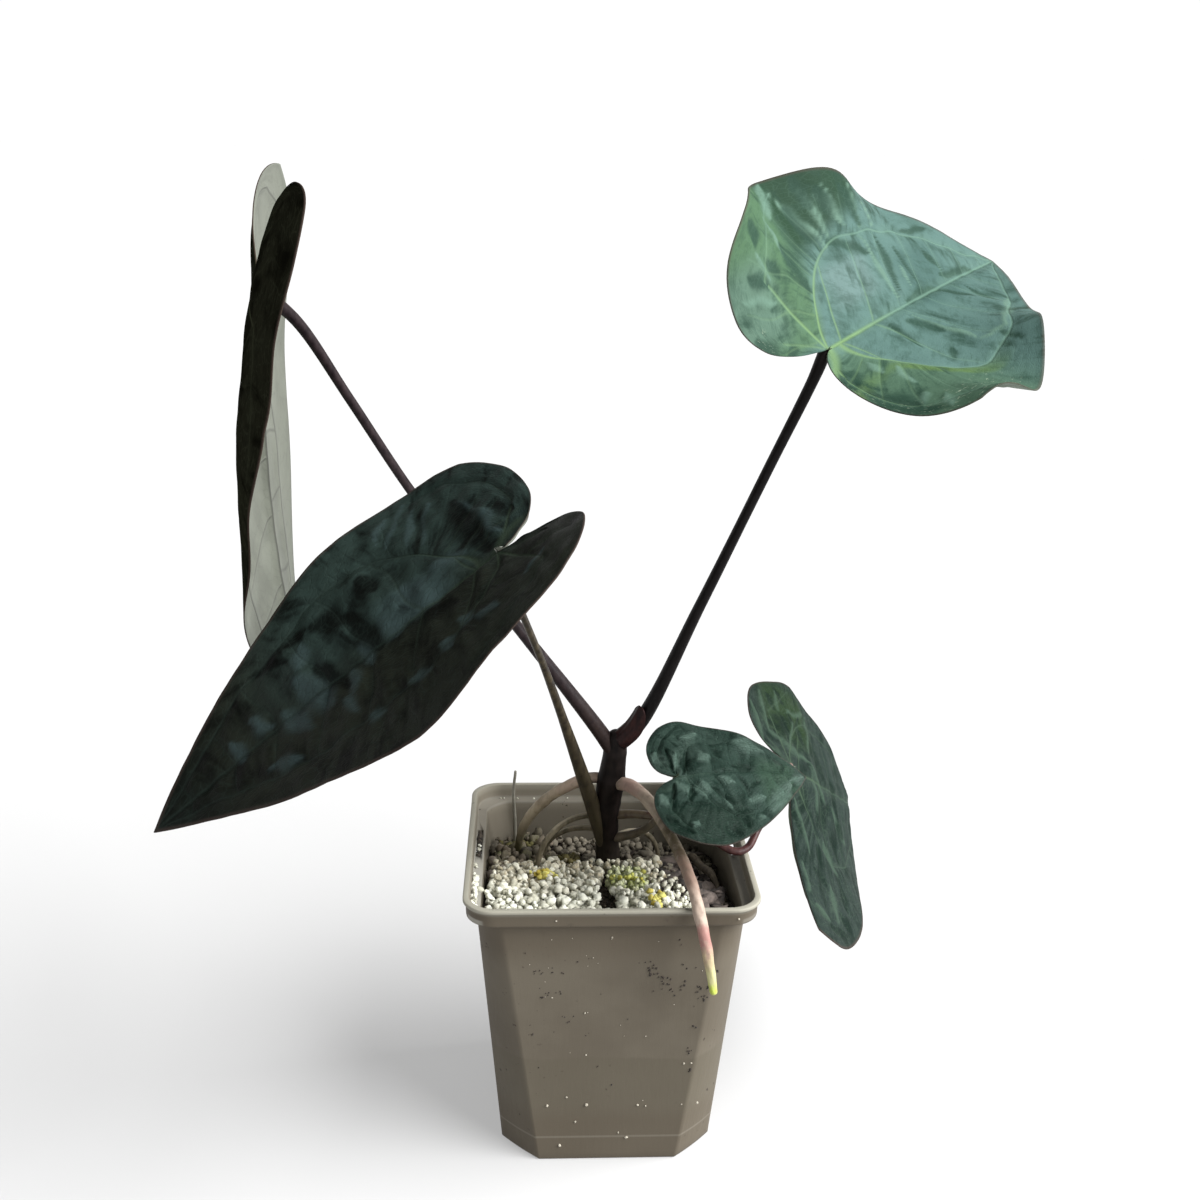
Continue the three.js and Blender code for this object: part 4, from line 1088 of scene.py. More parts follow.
def leaf_blade(name, finishes, rows, relief, ripple, press, seed):
    """A blade: columns fan from the foot to the margin, and both faces follow the veins, sunk above.

    Between the veins the blade is puffed up by relief, rippled by ripple, and raised by press along its pale
    strokes and sunk along its dark ones, in mm. All of it fades towards the margin and the foot.
    """
    leaf = LEAVES[name]
    length = leaf["length"]
    outline = half_outline(BLADE_COLUMNS)
    flat = np.concatenate([outline, outline[:-1][::-1]])
    half = np.repeat([0, 1], [len(outline), len(outline) - 1])
    lobe = np.where(flat[:, 0] < 0, np.take(leaf["lobe"], half), 1)
    share = (np.arange(1, rows + 1) / rows) ** 0.85
    columns = np.stack([flat[:, 0] * lobe, flat[:, 1] * np.take(leaf["width"], half) * (1 - 2 * half)], -1)
    flat_x, flat_y = np.concatenate([[(0, 0)], (columns[:, None] * share[:, None]).reshape(-1, 2)]).T
    x, y = flat_x * length, flat_y * length
    edge = np.concatenate([[0], np.tile(share, len(flat))])
    middle = bent_blade(leaf, x, y, np.concatenate([[0], np.repeat(half, rows)]))
    index = 1 + np.arange(len(flat) * rows).reshape(len(flat), rows)
    fan = np.stack([np.zeros(len(flat) - 1, int), index[1:, 0], index[:-1, 0]], -1)
    quads = np.stack([index[:-1, :-1], index[1:, :-1], index[1:, 1:], index[:-1, 1:]], -1).reshape(-1, 4)
    normals = smooth_normals(middle, [quads, fan])
    lines = vein_lines(flat_x, flat_y, edge)
    sunk = vein_sum(lines, RELIEF)
    level = np.stack([x, y, 0 * x], -1)
    puff = (1 - sunk) * relief * (0.7 + 0.3 * sine_noise(level, 26, seed))
    crumple = ripple * sine_noise(level, 9, seed + 5)
    dark_mark = strokes(flat_x, flat_y, DARK_STROKES_AND_SHADE[name])
    pale_mark = strokes(flat_x, flat_y, PALE_STROKES_AND_SHEEN[name])
    fade = 1 - 0.75 * ease(edge, 0.9, 1.0)
    lift = puff + crumple + press * (pale_mark - dark_mark) - 0.55 * relief
    lift = lift * fade * np.minimum(lines["reach"] / 0.05, 1)
    swell = sink(lines["midrib"], 0.02) * 1.3 * (1 - 0.75 * ease(flat_x, 0, 0.9)) + 0.3 * sunk
    half_thick = BLADE_THICKNESS / 2 * (1 - 0.45 * edge ** 3)
    top = middle + normals * (half_thick + lift)[:, None]
    bottom = middle + normals * (lift - half_thick - swell * fade)[:, None]
    border = np.concatenate([[0], index[0], index[1:, -1], index[-1, :-1][::-1]])
    below = [faces[:, ::-1] + len(middle) for faces in (fan, quads)]
    faces = [fan, quads, *below, border_wall(border, len(middle))]
    finish_index = np.concatenate([np.full(len(f), kind) for f, kind in zip(faces, (0, 0, 1, 1, 0))])
    fields = {"flat": np.tile(np.stack([flat_x, flat_y, edge], -1), (2, 1)),
              "dark_mark": np.tile(dark_mark, 2), "pale_mark": np.tile(pale_mark, 2)}
    node = "leaf_" + name
    make_piece("blade_" + name, np.concatenate([top, bottom]), faces, finishes, [node], fields,
               finish_index)


# Finishes

def plastic_finish():
    """Taupe moulded plastic: layers over the body's colour, heights in metres.

    Faint clouds, a damp band below the middle, smears of soil towards the top, painted shade under the
    collar and at the base, the mould's step near the base, a paler lip, walls inside made paler as painted
    light, a pale ledge (dust, thickest at its left, and a painted highlight all round), and specks of soil.
    """
    finish = Finish("pot_plastic", Roughness=0.5, Specular_IOR_Level=0.12)
    place = finish.place()
    x, y, z = finish.parts(place)
    cloud = finish.noise(place, 24, 4)
    damp = ease(z + 0.004 * (finish.noise(place, 55, 2) - 0.5), 0.0450, 0.0435) * ease(z, 0.0, 0.03)
    smear = ease(finish.noise(finish.stretched(place, (60, 60, 25)), 1, 5, 0.65), 0.56, 0.72)
    # Painted shade: darker under the collar's overhang and near the base.
    painted_shade_band = ease(z, 0.080, 0.092) + ease(z, 0.026, 0.016)
    step = near(z, 0.0102, 0.0006)
    lip = ease(z, 0.1040, 0.1064)
    across, back, _ = finish.parts(finish.node("NewGeometry", output="Normal"))
    # Painted light: walls facing into the pot are made paler, lifting the shade that falls inside it.
    inside = ease(across * x + back * y, -0.01, -0.03)
    # The ledge is pale: a painted highlight along its edge all round, and dust thickest at the left.
    ledge = near(z, LEDGE_TOP * MM, 0.0012) * ease(most(abs(x), abs(y)), 0.0484, 0.0478)
    dust_and_highlight = 0.35 + 0.65 * ease(x, -0.042, -0.045) * ease(y, 0.02, -0.01)
    soil = ease(finish.noise(place, 420, 2), 0.66, 0.72) * ease(finish.noise(place, 42, 2), 0.56, 0.66)
    body = finish.layers((0.089, 0.076, 0.057), [
        ((0.105, 0.091, 0.069), ease(cloud, 0.35, 0.65)),
        ((0.084, 0.073, 0.053), damp * 0.6),
        ((0.070, 0.056, 0.042), smear * ease(z, 0.06, 0.095) * 0.6),
        ((0.078, 0.064, 0.046), painted_shade_band * 0.6),
        ((0.15, 0.135, 0.11), step * 0.5),
        ((0.27, 0.26, 0.215), lip * 0.9),
        ((0.17, 0.153, 0.120), inside * 0.65),
        ((0.24, 0.23, 0.20), ledge * dust_and_highlight),
        ((0.03, 0.022, 0.017), soil),
    ])
    scuff = finish.noise(finish.stretched(place, (600, 600, 90)), 1, 4)
    finish.feed(Base_Color=body, Roughness=0.42 + 0.2 * scuff, Normal=finish.bump(cloud + 0.25 * scuff, 0.2))
    return finish


def mix_finish():
    """Dark crumbly soil."""
    finish = Finish("dark_mix", Roughness=0.95)
    grain = finish.noise(finish.place(), 350, 6, 0.7)
    colour = finish.blend((0.012, 0.008, 0.006), (0.06, 0.04, 0.028), ease(grain, 0.35, 0.75))
    finish.feed(Base_Color=colour, Normal=finish.bump(grain, 0.8))
    return finish


def stone_finish(name, dark, light, tinted, fine=900):
    """Rough pumice: each grain has its own shade, with pores, and a film of tint where it has one."""
    finish = Finish(name, Roughness=0.9)
    pores = finish.noise(finish.place(), fine, 4, 0.65)
    colour = finish.layers(dark, [
        (light, ease(finish.field("shade") * 0.75 + 0.4 * pores, 0.1, 0.8)),
        (tinted, finish.field("tint") * ease(pores, 0.2, 0.7)),
    ])
    finish.feed(Base_Color=colour, Normal=finish.bump(pores, 0.35))
    return finish


def bark_finish():
    """Flaky bark: each chip has its own shade, with level streaks."""
    finish = Finish("bark", Roughness=0.8)
    streak = finish.noise(finish.stretched(finish.place(), (300, 300, 900)), 1, 5, 0.65)
    amount = ease(streak * 0.8 + finish.field("shade") * 0.3, 0.3, 0.85)
    finish.feed(Base_Color=finish.blend((0.017, 0.013, 0.011), (0.15, 0.118, 0.10), amount),
                Normal=finish.bump(streak, 0.6))
    return finish


def skin_finish(name, base, other, roughness=0.45, bands=(), gloss=0.3, lit=None, flake=0.2):
    """Skin of a stem, petiole or root: long streaks between two colours, then bands along it.

    Each band is its colour and where along the piece it begins and is full, the second number the lower for a
    band that fades away. lit is the colour of a painted highlight on the side that faces up, and flake the
    depth of the bump in mm.
    """
    finish = Finish(name, Roughness=roughness, Specular_IOR_Level=gloss)
    place = finish.place()
    along = finish.field("along")
    streak = finish.noise(finish.stretched(place, (520, 520, 90)), 1, 4)
    fleck = finish.noise(place, 330, 4, 0.6)
    layers = [(other, ease(streak * 0.5 + fleck * 0.5, 0.36, 0.66))]
    for shade, start, full in bands:
        layers.append((shade, ease(along + 0.10 * streak - 0.05, start, full) * ease(fleck, 0.2, 0.55)))
    # Painted highlight along the side that faces up.
    if lit is not None:
        layers.append((lit, ease(finish.field("up") + 0.5 * streak, 0.75, 1.15)))
    finish.feed(Base_Color=finish.layers(base, layers), Roughness=roughness - 0.1 + 0.25 * fleck,
                Normal=finish.bump(streak * 0.5 + fleck * 0.5, flake))
    return finish


# Colours of painted glints and of the brown margin.
GLINT_COLOUR = (0.22, 0.27, 0.20)
MARGIN_COLOUR = (0.05, 0.035, 0.03)


def widened(widths, wider, stronger=1.0):
    """The same veins with other widths and strengths."""
    return {name: (width * wider, strength * stronger) for name, (width, strength) in widths.items()}


def leaf_finish(name, deep, lit, vein, young_vein, zones, vein_strength, roughness, gloss, net,
                dark=(0.4, 0.62), sparkle=None, pale=None, pale_strength=0.75):
    """Upper side of a blade: zones over its lit colour, painted shade in dark strokes between the veins,
    then the veins.

    The strokes are a noise drawn out along the minor veins: across the midrib inside the collective vein,
    and away from the centre outside it. dark gives the noise's values where a stroke is full and where it
    ends. A finer mottling in the same deep colour lies over them. Then come the blade's strokes, pale in
    their colour (partly painted sheen and highlights) and dark in the deep one (partly painted shade), a
    net of small veins, and the veins with a halo, the young ones near the foot. sparkle says where small
    painted glints lie. The margin is brown.
    """
    finish = Finish(name, Roughness=roughness, Specular_IOR_Level=gloss)
    flat = finish.field("flat", "Vector")
    x, y, edge = finish.parts(flat)
    lines = vein_lines(x, y, edge)
    at = SimpleNamespace(x=x, y=y, edge=edge, **lines)
    cloud = finish.noise(flat, 5.0, 4, 0.6)
    inside = finish.noise(finish.vector(at.row * 2.2, y * 7, 0.0), 1.0, 4, 0.6)
    outside = finish.noise(finish.vector(at.spoke * 2.2, edge * 3.2, 4.0), 1.0, 4, 0.6)
    stroke = inside * (1 - at.beyond) + outside * at.beyond
    # Painted shade: strokes between the veins blended towards the deep colour.
    shadow = 1 - ease(stroke * 0.72 + cloud * 0.4, *dark)
    mottle = ease(finish.noise(flat, 16, 6, 0.7), 0.53, 0.36)
    layers = [(shade, where(at) * strength) for shade, where, strength in zones]
    layers += [(deep, shadow * 0.85), (deep, mottle * 0.35)]
    # The pale strokes are partly painted sheen and highlights, the dark ones partly painted shade.
    if pale is not None:
        ragged = 0.35 + 1.3 * finish.noise(flat, 40, 5, 0.7)
        layers += [(pale, ease(finish.field("pale_mark") * ragged, 0.1, 1.15) * pale_strength),
                   (deep, ease(finish.field("dark_mark") * ragged, 0.05, 0.9) * 0.85)]
    web = finish.web(flat, 36)
    marks = vein_sum(lines, VEIN_MARKS)
    halo = vein_sum(lines, widened(VEIN_MARKS, 4, 0.4))
    layers += [(vein, sink(web, 0.10) * net * ease(stroke, 0.35, 0.6)),
               (vein, most(marks, halo * ease(stroke, 0.3, 0.6)) * vein_strength),
               (young_vein, marks * ease(at.reach, 0.36, 0.05) * vein_strength)]
    # Painted glints: small pale specks of reflected light where sparkle says.
    if sparkle is not None:
        glints = ease(finish.noise(flat, 60, 3, 0.7), 0.60, 0.72)
        layers.append((GLINT_COLOUR, glints * sparkle(at)))
    layers.append((MARGIN_COLOUR, ease(edge, 0.978, 1.0) * 0.6))
    grain = finish.noise(flat, 180, 2)
    height = grain * 0.25 + 0.4 * stroke - 0.6 * sink(web, 0.12) * net - marks * 0.6
    finish.feed(Base_Color=finish.layers(lit, layers), Roughness=roughness - 0.10 + 0.22 * cloud,
                Normal=finish.bump(height, 0.35))
    return finish


def underside_finish(name, pale, dull, vein):
    """Lower side of a blade: matt and pale, with the veins standing out dark."""
    finish = Finish(name, Roughness=0.6)
    flat = finish.field("flat", "Vector")
    marks = vein_sum(vein_lines(*finish.parts(flat)), widened(VEIN_MARKS, 0.9))
    cloud = finish.noise(flat, 7, 5, 0.6)
    web = finish.web(flat, 30)
    colour = finish.layers(pale, [
        (dull, ease(cloud, 0.35, 0.7)),
        (vein, most(marks, sink(web, 0.05) * 0.25) * 0.75),
    ])
    finish.feed(Base_Color=colour, Normal=finish.bump(marks + 0.2 * cloud, 0.3))
    return finish


# Stem, petioles and roots

# lit, where given, is a painted highlight along the upper side.
PETIOLE_SKINS = {
    "upper_right": dict(
        name="petiole_dark", base=(0.003, 0.002, 0.002), other=(0.006, 0.005, 0.005), gloss=0.1),
    "far_left": dict(
        name="petiole_maroon", base=(0.007, 0.004, 0.005), other=(0.020, 0.013, 0.014), gloss=0.15,
        bands=[((0.02, 0.012, 0.01), 0.2, 0.0)], lit=(0.13, 0.105, 0.10)),
    "front_left": dict(
        name="petiole_brown", base=(0.012, 0.009, 0.006), other=(0.045, 0.035, 0.020), gloss=0.2,
        bands=[((0.034, 0.027, 0.015), 0.36, 0.04)], lit=(0.09, 0.072, 0.045)),
    "front_right": dict(
        name="petiole_beige", base=(0.05, 0.04, 0.027), other=(0.10, 0.08, 0.055), roughness=0.5,
        bands=[((0.03, 0.03, 0.02), 0.5, 0.8)]),
    "hanging_right": dict(
        name="petiole_red", base=(0.030, 0.009, 0.009), other=(0.060, 0.022, 0.020), roughness=0.42,
        bands=[((0.085, 0.066, 0.042), 0.36, 0.22), ((0.12, 0.075, 0.06), 0.78, 0.84)]),
}
STEM_SKIN = dict(
    name="stem_skin", base=(0.003, 0.002, 0.002), other=(0.012, 0.008, 0.007), roughness=0.5, gloss=0.12,
    bands=[((0.022, 0.018, 0.013), 0.55, 0.2)])
SHEATH_SKIN = dict(
    name="sheath_skin", base=(0.010, 0.004, 0.004), other=(0.030, 0.011, 0.010), roughness=0.5, gloss=0.15)
# lit, where given, is a painted highlight along the upper side.
ROOT_SKINS = {
    "over_rim": dict(
        name="root_pink", base=(0.15, 0.115, 0.085), other=(0.26, 0.21, 0.165), roughness=0.55, flake=0.5,
        bands=[((0.25, 0.17, 0.14), 0.02, 0.10), ((0.28, 0.23, 0.175), 0.12, 0.22),
               ((0.08, 0.062, 0.035), 0.26, 0.36), ((0.23, 0.155, 0.12), 0.46, 0.56),
               ((0.33, 0.26, 0.21), 0.60, 0.70), ((0.27, 0.14, 0.12), 0.74, 0.78),
               ((0.34, 0.28, 0.17), 0.83, 0.88), ((0.40, 0.39, 0.19), 0.89, 0.95),
               ((0.33, 0.40, 0.05), 0.965, 1.0)]),
    "left_thick": dict(
        name="root_beige", base=(0.21, 0.165, 0.11), other=(0.34, 0.28, 0.20), roughness=0.6, flake=0.4,
        bands=[((0.28, 0.21, 0.165), 0.4, 0.2), ((0.34, 0.285, 0.20), 0.4, 0.55),
               ((0.09, 0.08, 0.035), 0.62, 0.85)]),
    "thread": dict(name="root_pale", base=(0.16, 0.15, 0.12), other=(0.25, 0.24, 0.20), roughness=0.7),
    "lying": dict(
        name="root_dull", base=(0.035, 0.027, 0.018), other=(0.10, 0.08, 0.055), roughness=0.7, flake=0.4),
    "others": dict(
        name="root_brown", base=(0.06, 0.05, 0.03), other=(0.14, 0.118, 0.078), roughness=0.65, flake=0.4,
        lit=(0.27, 0.235, 0.17)),
}


def grooved(along, angle, radius):
    """A petiole's form: three faint sides, a groove along one of them, and a knuckle under the blade."""
    groove = 0.12 * np.exp(-((angle - math.pi) / 0.35) ** 2) * ease(along, 0.05, 0.3)
    return radius * (1 - groove) * (1 + 0.10 * ease(along, 0.93, 0.985) - 0.04 * np.sin(3 * angle))


def scarred(along, angle, radius):
    """A stem's form: a raised scar seven times along it, and a slow twist."""
    scar = np.exp(-((np.mod(along * 7 + 0.06 * np.sin(angle), 1) - 0.5) / 0.12) ** 2)
    return radius * (1.07 + 0.05 * scar + 0.03 * np.sin(2 * angle + 9 * along))


def knotty(along, angle, radius):
    """A root's form: shallow knots and fine wrinkles that wind along it."""
    knots = 0.05 * np.sin(38 * along + 2 * angle) * np.sin(11 * along)
    return radius * (1 + knots + 0.035 * np.sin(5 * angle + 70 * along))


def stems_and_roots():
    """The petioles, each into its blade, the stem, the aerial roots, and a root that lies on the bark."""
    for name, petiole in PETIOLES.items():
        _, face, _ = blade_axes(LEAVES[name])
        end = np.array(LEAVES[name]["foot"]) - face * (0.8 + 0.4 * petiole["radii"][-1])
        skin = skin_finish(**PETIOLE_SKINS[name])
        node = "petiole_" + name
        route = [*petiole["route"], tuple(end)]
        add_tube("stalk_" + name, route, petiole["radii"], skin, node, [node], grooved)
    add_tube("trunk", STEM["route"], STEM["radii"], skin_finish(**STEM_SKIN), "stem_bark", ["stem"], scarred,
             sides=40, step=0.8)
    skins = {name: skin_finish(**skin) for name, skin in ROOT_SKINS.items()}
    for name, root in ROOTS.items():
        skin = skins.get(name, skins["others"])
        node = "root_" + name
        add_tube("aerial_" + name, root["route"], root["radii"], skin, node, [node], knotty, sides=22,
                 step=0.7)
    add_tube("aerial_lying", LYING_ROOT["route"], LYING_ROOT["radii"], skins["lying"], "root_right_lower", [],
             knotty, sides=18)


def sheath():
    """A papery sheath round the foot of the newest petiole: part of a tube, in two rippled sheets.

    Each row faces front and reaches as far to both sides as its half angle, which falls to a point at the
    top, while the radius grows by the flare.
    """
    curve, _ = smooth_route(PETIOLES["upper_right"]["route"], 400)
    steps, across = 40, 36
    t = np.linspace(0, 1, steps)
    share = SHEATH["start"] + (SHEATH["end"] - SHEATH["start"]) * t
    centre = np.stack([np.interp(share, np.linspace(0, 1, 400), curve[:, k]) for k in range(3)], -1)
    along = np.gradient(centre, axis=0)
    along /= np.linalg.norm(along, axis=1, keepdims=True)
    front = np.array(SHEATH["front"])
    out = front - (along @ front)[:, None] * along
    out /= np.linalg.norm(out, axis=1, keepdims=True)
    side = np.cross(along, out)
    reach = SHEATH["half_angle"] * np.sqrt(1 - 0.97 * t ** 1.5)
    angle = np.linspace(-1, 1, across)[None] * reach[:, None]
    ray = np.cos(angle)[..., None] * out[:, None] + np.sin(angle)[..., None] * side[:, None]
    growth = SHEATH["flare"] * t[:, None] + 0.12 * np.sin(angle * 9 + 4 * t[:, None])
    sheets = [(centre[:, None] + ray * (radius + growth)[..., None]).reshape(-1, 3)
              for radius in SHEATH["radii"]]
    quads = grid_quads(steps, across)
    index = np.arange(steps * across).reshape(steps, across)
    border = np.concatenate([index[0, :-1], index[:-1, -1], index[-1, :0:-1], index[:0:-1, 0]])
    faces = [quads[:, ::-1], quads + index.size, border_wall(border, index.size)]
    place = np.tile(np.repeat(t, across), 2)
    make_piece("sheath_wrap", np.concatenate(sheets), faces, [skin_finish(**SHEATH_SKIN)],
               ["sheath"], {"along": place, "up": 0 * place})


# Blades

def patch(middle_x, middle_y, reach_x, reach_y):
    """The zone round one place on the flat blade."""
    return lambda at: near(at.x, middle_x, reach_x) * near(at.y, middle_y, reach_y)


LEFT_LOBE = lambda at: ease(at.angle, 1.0, 1.5) * ease(at.y, 0.0, 0.04)
# The right strip is painted shade: darker green on the right half outside the collective vein, near the foot.
RIGHT_STRIP = lambda at: ease(at.y, -0.01, -0.05) * at.beyond * ease(at.x, 0.36, 0.18)
RIGHT_STRIPE = lambda at: (ease(at.y, -0.09, -0.15) * near(at.collective, 0.016, 0.03) * at.beyond
                           * ease(at.x, 0.38, 0.2))
TOP = lambda at: ease(at.y - 0.2 * at.x, 0.16, 0.22) * ease(at.x, 0.02, 0.1) * ease(at.x, 0.46, 0.36)
# Places of painted glints: the outer right half near the foot, and a spot on the left hind lobe.
GLINT_PLACES = lambda at: (ease(at.y, -0.03, -0.08) * ease(at.edge, 0.62, 0.8) * ease(at.x, 0.32, 0.15)
                      + near(at.x, -0.19, 0.05) * near(at.y, 0.07, 0.06))
LOW_LEFT = lambda at: ease(at.y, -0.12, -0.22) * ease(at.x, 0.42, 0.3)
NEAR_HALF = lambda at: ease(at.y, 0.06, -0.08) * ease(at.x, 0.75, 0.45)
TIP = lambda at: ease(at.x, 0.68, 0.92)

# Each zone is its colour, its place and its strength.
UPPER_SIDES = {
    "upper_right": dict(
        name="leaf_green", deep=(0.015, 0.036, 0.025), lit=(0.056, 0.103, 0.092),
        vein=(0.085, 0.150, 0.115), young_vein=(0.115, 0.19, 0.068),
        vein_strength=0.7, roughness=0.55, gloss=0.03, net=0.08,
        dark=(0.38, 0.57), sparkle=GLINT_PLACES, pale=(0.082, 0.142, 0.108), pale_strength=0.85,
        zones=[((0.044, 0.088, 0.044), LEFT_LOBE, 0.9),
               ((0.066, 0.112, 0.088), patch(-0.17, 0.15, 0.13, 0.13), 0.75),
               ((0.036, 0.072, 0.064), patch(0.53, 0.04, 0.17, 0.12), 0.85),
               ((0.012, 0.030, 0.016), TOP, 0.95),
               # Painted sheen: a pale blue-grey patch near the foot.
               ((0.080, 0.128, 0.120), patch(0.20, 0.11, 0.13, 0.07), 1.0),
               ((0.043, 0.082, 0.051), RIGHT_STRIP, 0.9),
               ((0.064, 0.112, 0.034), RIGHT_STRIPE, 0.75)]),
    "far_left": dict(
        name="leaf_olive", deep=(0.003, 0.003, 0.002), lit=(0.0115, 0.0118, 0.0075),
        vein=(0.034, 0.038, 0.024), young_vein=(0.05, 0.055, 0.03),
        vein_strength=0.6, roughness=0.6, gloss=0.0, net=0.3,
        zones=[((0.012, 0.018, 0.014), patch(0.30, 0.0, 0.35, 0.25), 0.8)]),
    "front_left": dict(
        name="leaf_black", deep=(0.0008, 0.001, 0.0008), lit=(0.0105, 0.0125, 0.0088),
        vein=(0.014, 0.022, 0.018), young_vein=(0.030, 0.044, 0.026),
        vein_strength=0.5, roughness=0.5, gloss=0.04, net=0.3,
        # pale here is painted sheen, laid in patches along the strokes.
        dark=(0.40, 0.60), pale=(0.030, 0.047, 0.048), pale_strength=0.68,
        zones=[((0.016, 0.027, 0.024), NEAR_HALF, 0.9),
               # Painted sheen: a pale teal patch near the notch.
               ((0.036, 0.058, 0.058), patch(0.21, -0.05, 0.13, 0.08), 0.75),
               ((0.0028, 0.0038, 0.0028), TIP, 0.9)]),
    "front_right": dict(
        name="leaf_dark", deep=(0.003, 0.009, 0.006), lit=(0.014, 0.027, 0.021),
        vein=(0.028, 0.048, 0.037), young_vein=(0.035, 0.058, 0.040),
        vein_strength=0.2, roughness=0.45, gloss=0.04, net=0.6,
        dark=(0.40, 0.58), pale=(0.056, 0.088, 0.072),
        zones=[((0.022, 0.044, 0.028), patch(0.68, -0.08, 0.24, 0.2), 0.8),
               ((0.030, 0.046, 0.038), patch(-0.03, 0.08, 0.13, 0.12), 0.75),
               ((0.026, 0.042, 0.034), patch(0.12, 0.16, 0.12, 0.1), 0.6),
               ((0.007, 0.014, 0.010), LOW_LEFT, 0.8)]),
    "hanging_right": dict(
        name="leaf_hanging", deep=(0.005, 0.011, 0.008), lit=(0.014, 0.022, 0.019),
        vein=(0.032, 0.052, 0.036), young_vein=(0.040, 0.064, 0.038),
        vein_strength=0.6, roughness=0.55, gloss=0.02, net=0.4,
        dark=(0.44, 0.60), pale=(0.036, 0.060, 0.042),
        zones=[((0.012, 0.024, 0.009), patch(0.05, 0.2, 0.25, 0.14), 0.9)]),
}
UNDERSIDES = {
    "pale": ("leaf_underside", (0.105, 0.113, 0.090), (0.078, 0.084, 0.066), (0.015, 0.015, 0.012)),
    "green": ("leaf_underside_green", (0.09, 0.13, 0.085), (0.065, 0.10, 0.06), (0.04, 0.05, 0.03)),
}
BLADES = {
    "upper_right": dict(under="green", rows=72, relief=0.9, ripple=0.2, press=0.3, seed=20),
    "far_left": dict(under="pale", rows=72, relief=0.5, ripple=0.1, press=0.3, seed=21),
    "front_left": dict(under="pale", rows=72, relief=1.4, ripple=0.5, press=0.3, seed=22),
    "front_right": dict(under="green", rows=56, relief=1.3, ripple=0.6, press=0.9, seed=23),
    "hanging_right": dict(under="green", rows=72, relief=1.0, ripple=0.3, press=0.3, seed=24),
}


def leaves():
    """The five blades, each with its own upper side and one of the two undersides."""
    unders = {name: underside_finish(*look) for name, look in UNDERSIDES.items()}
    for name, blade in BLADES.items():
        form = dict(blade)
        finishes = [leaf_finish(**UPPER_SIDES[name]), unders[form.pop("under")]]
        leaf_blade(name, finishes, **form)


# Grains, pebbles and specks

STONES = {
    "white_pumice": ((0.38, 0.37, 0.29), (0.72, 0.72, 0.62), (0.30, 0.235, 0.13), 900),
    "mossy_pumice": ((0.31, 0.31, 0.20), (0.62, 0.63, 0.47), (0.26, 0.31, 0.045), 900),
    "yellow_pumice": ((0.36, 0.27, 0.03), (0.62, 0.58, 0.17), (0.30, 0.34, 0.06), 900),
    "olive_pumice": ((0.055, 0.042, 0.014), (0.16, 0.13, 0.045), (0.1, 0.1, 0.03), 600),
    "grey_stone": ((0.055, 0.045, 0.030), (0.20, 0.165, 0.12), (0.10, 0.11, 0.04), 500),
    "brown_crumbs": ((0.020, 0.015, 0.011), (0.11, 0.085, 0.058), (0.004, 0.003, 0.003), 700),
    "cream_grit": ((0.22, 0.20, 0.16), (0.36, 0.33, 0.27), (0.2, 0.2, 0.1), 900),
    "tan_grit": ((0.05, 0.042, 0.03), (0.21, 0.185, 0.14), (0.045, 0.03, 0.028), 600),
    "soil_specks": ((0.004, 0.003, 0.003), (0.03, 0.022, 0.016), (0.01, 0.01, 0.01), 700),
}

# Each pebble is x, y and its tint.
PEBBLES = [(-41, 27, 0), (-38.5, 0, 0.7), (-41, 9, 0.8), (-28.5, 24, 0), (-36.5, 13, 0.2), (-40.5, -9, 0.9),
           (-33, 5, 0.3), (-24, 20, 0)]

PALE_SPECKS = [
    (-18.9, 103.0, 0, 0, 1, 0.5), (41.5, 103.2, 0, 0, 1, 0.5), (-6.3, 86.2, 0, 0, 1, 0.35),
    (-19.9, 70.1, 0.4, 0.3, 2, 0.35), (-20.3, 93.5, 0, 0, 1, 0.3), (-14.7, 27.8, 0, 0, 1, 0.6),
    (-21.4, 24.2, 0, 0, 1, 0.5), (-7.6, 24.4, 0.3, 0.9, 3, 0.65), (-11.5, 16.9, 0, 0, 1, 0.65),
    (10.4, 24.0, 0, 0, 1, 0.5), (13.2, 23.6, 0, 0, 1, 0.45), (25.9, 24.0, 0, 0, 1, 0.45),
    (31.4, 24.6, 0, 0, 1, 0.6), (3.8, 11.9, 0, 0, 1, 0.7), (6.7, 9.7, 0, 0, 1, 0.65),
    (-16.9, 6.5, 0, 0, 1, 0.65), (26.0, 41.9, 0, 0, 1, 0.45), (28.6, 42.0, 0, 0, 1, 0.4),
    (-8.1, 46.0, 0, 0, 1, 0.4), (-8.7, 63.6, 1.5, 0.7, 2, 0.4), (0.4, 94.0, 0.8, 0.4, 2, 0.45),
    (2.0, 85.0, 30, 10, 8, 0.22), (0, 55, 30, 30, 8, 0.22)]

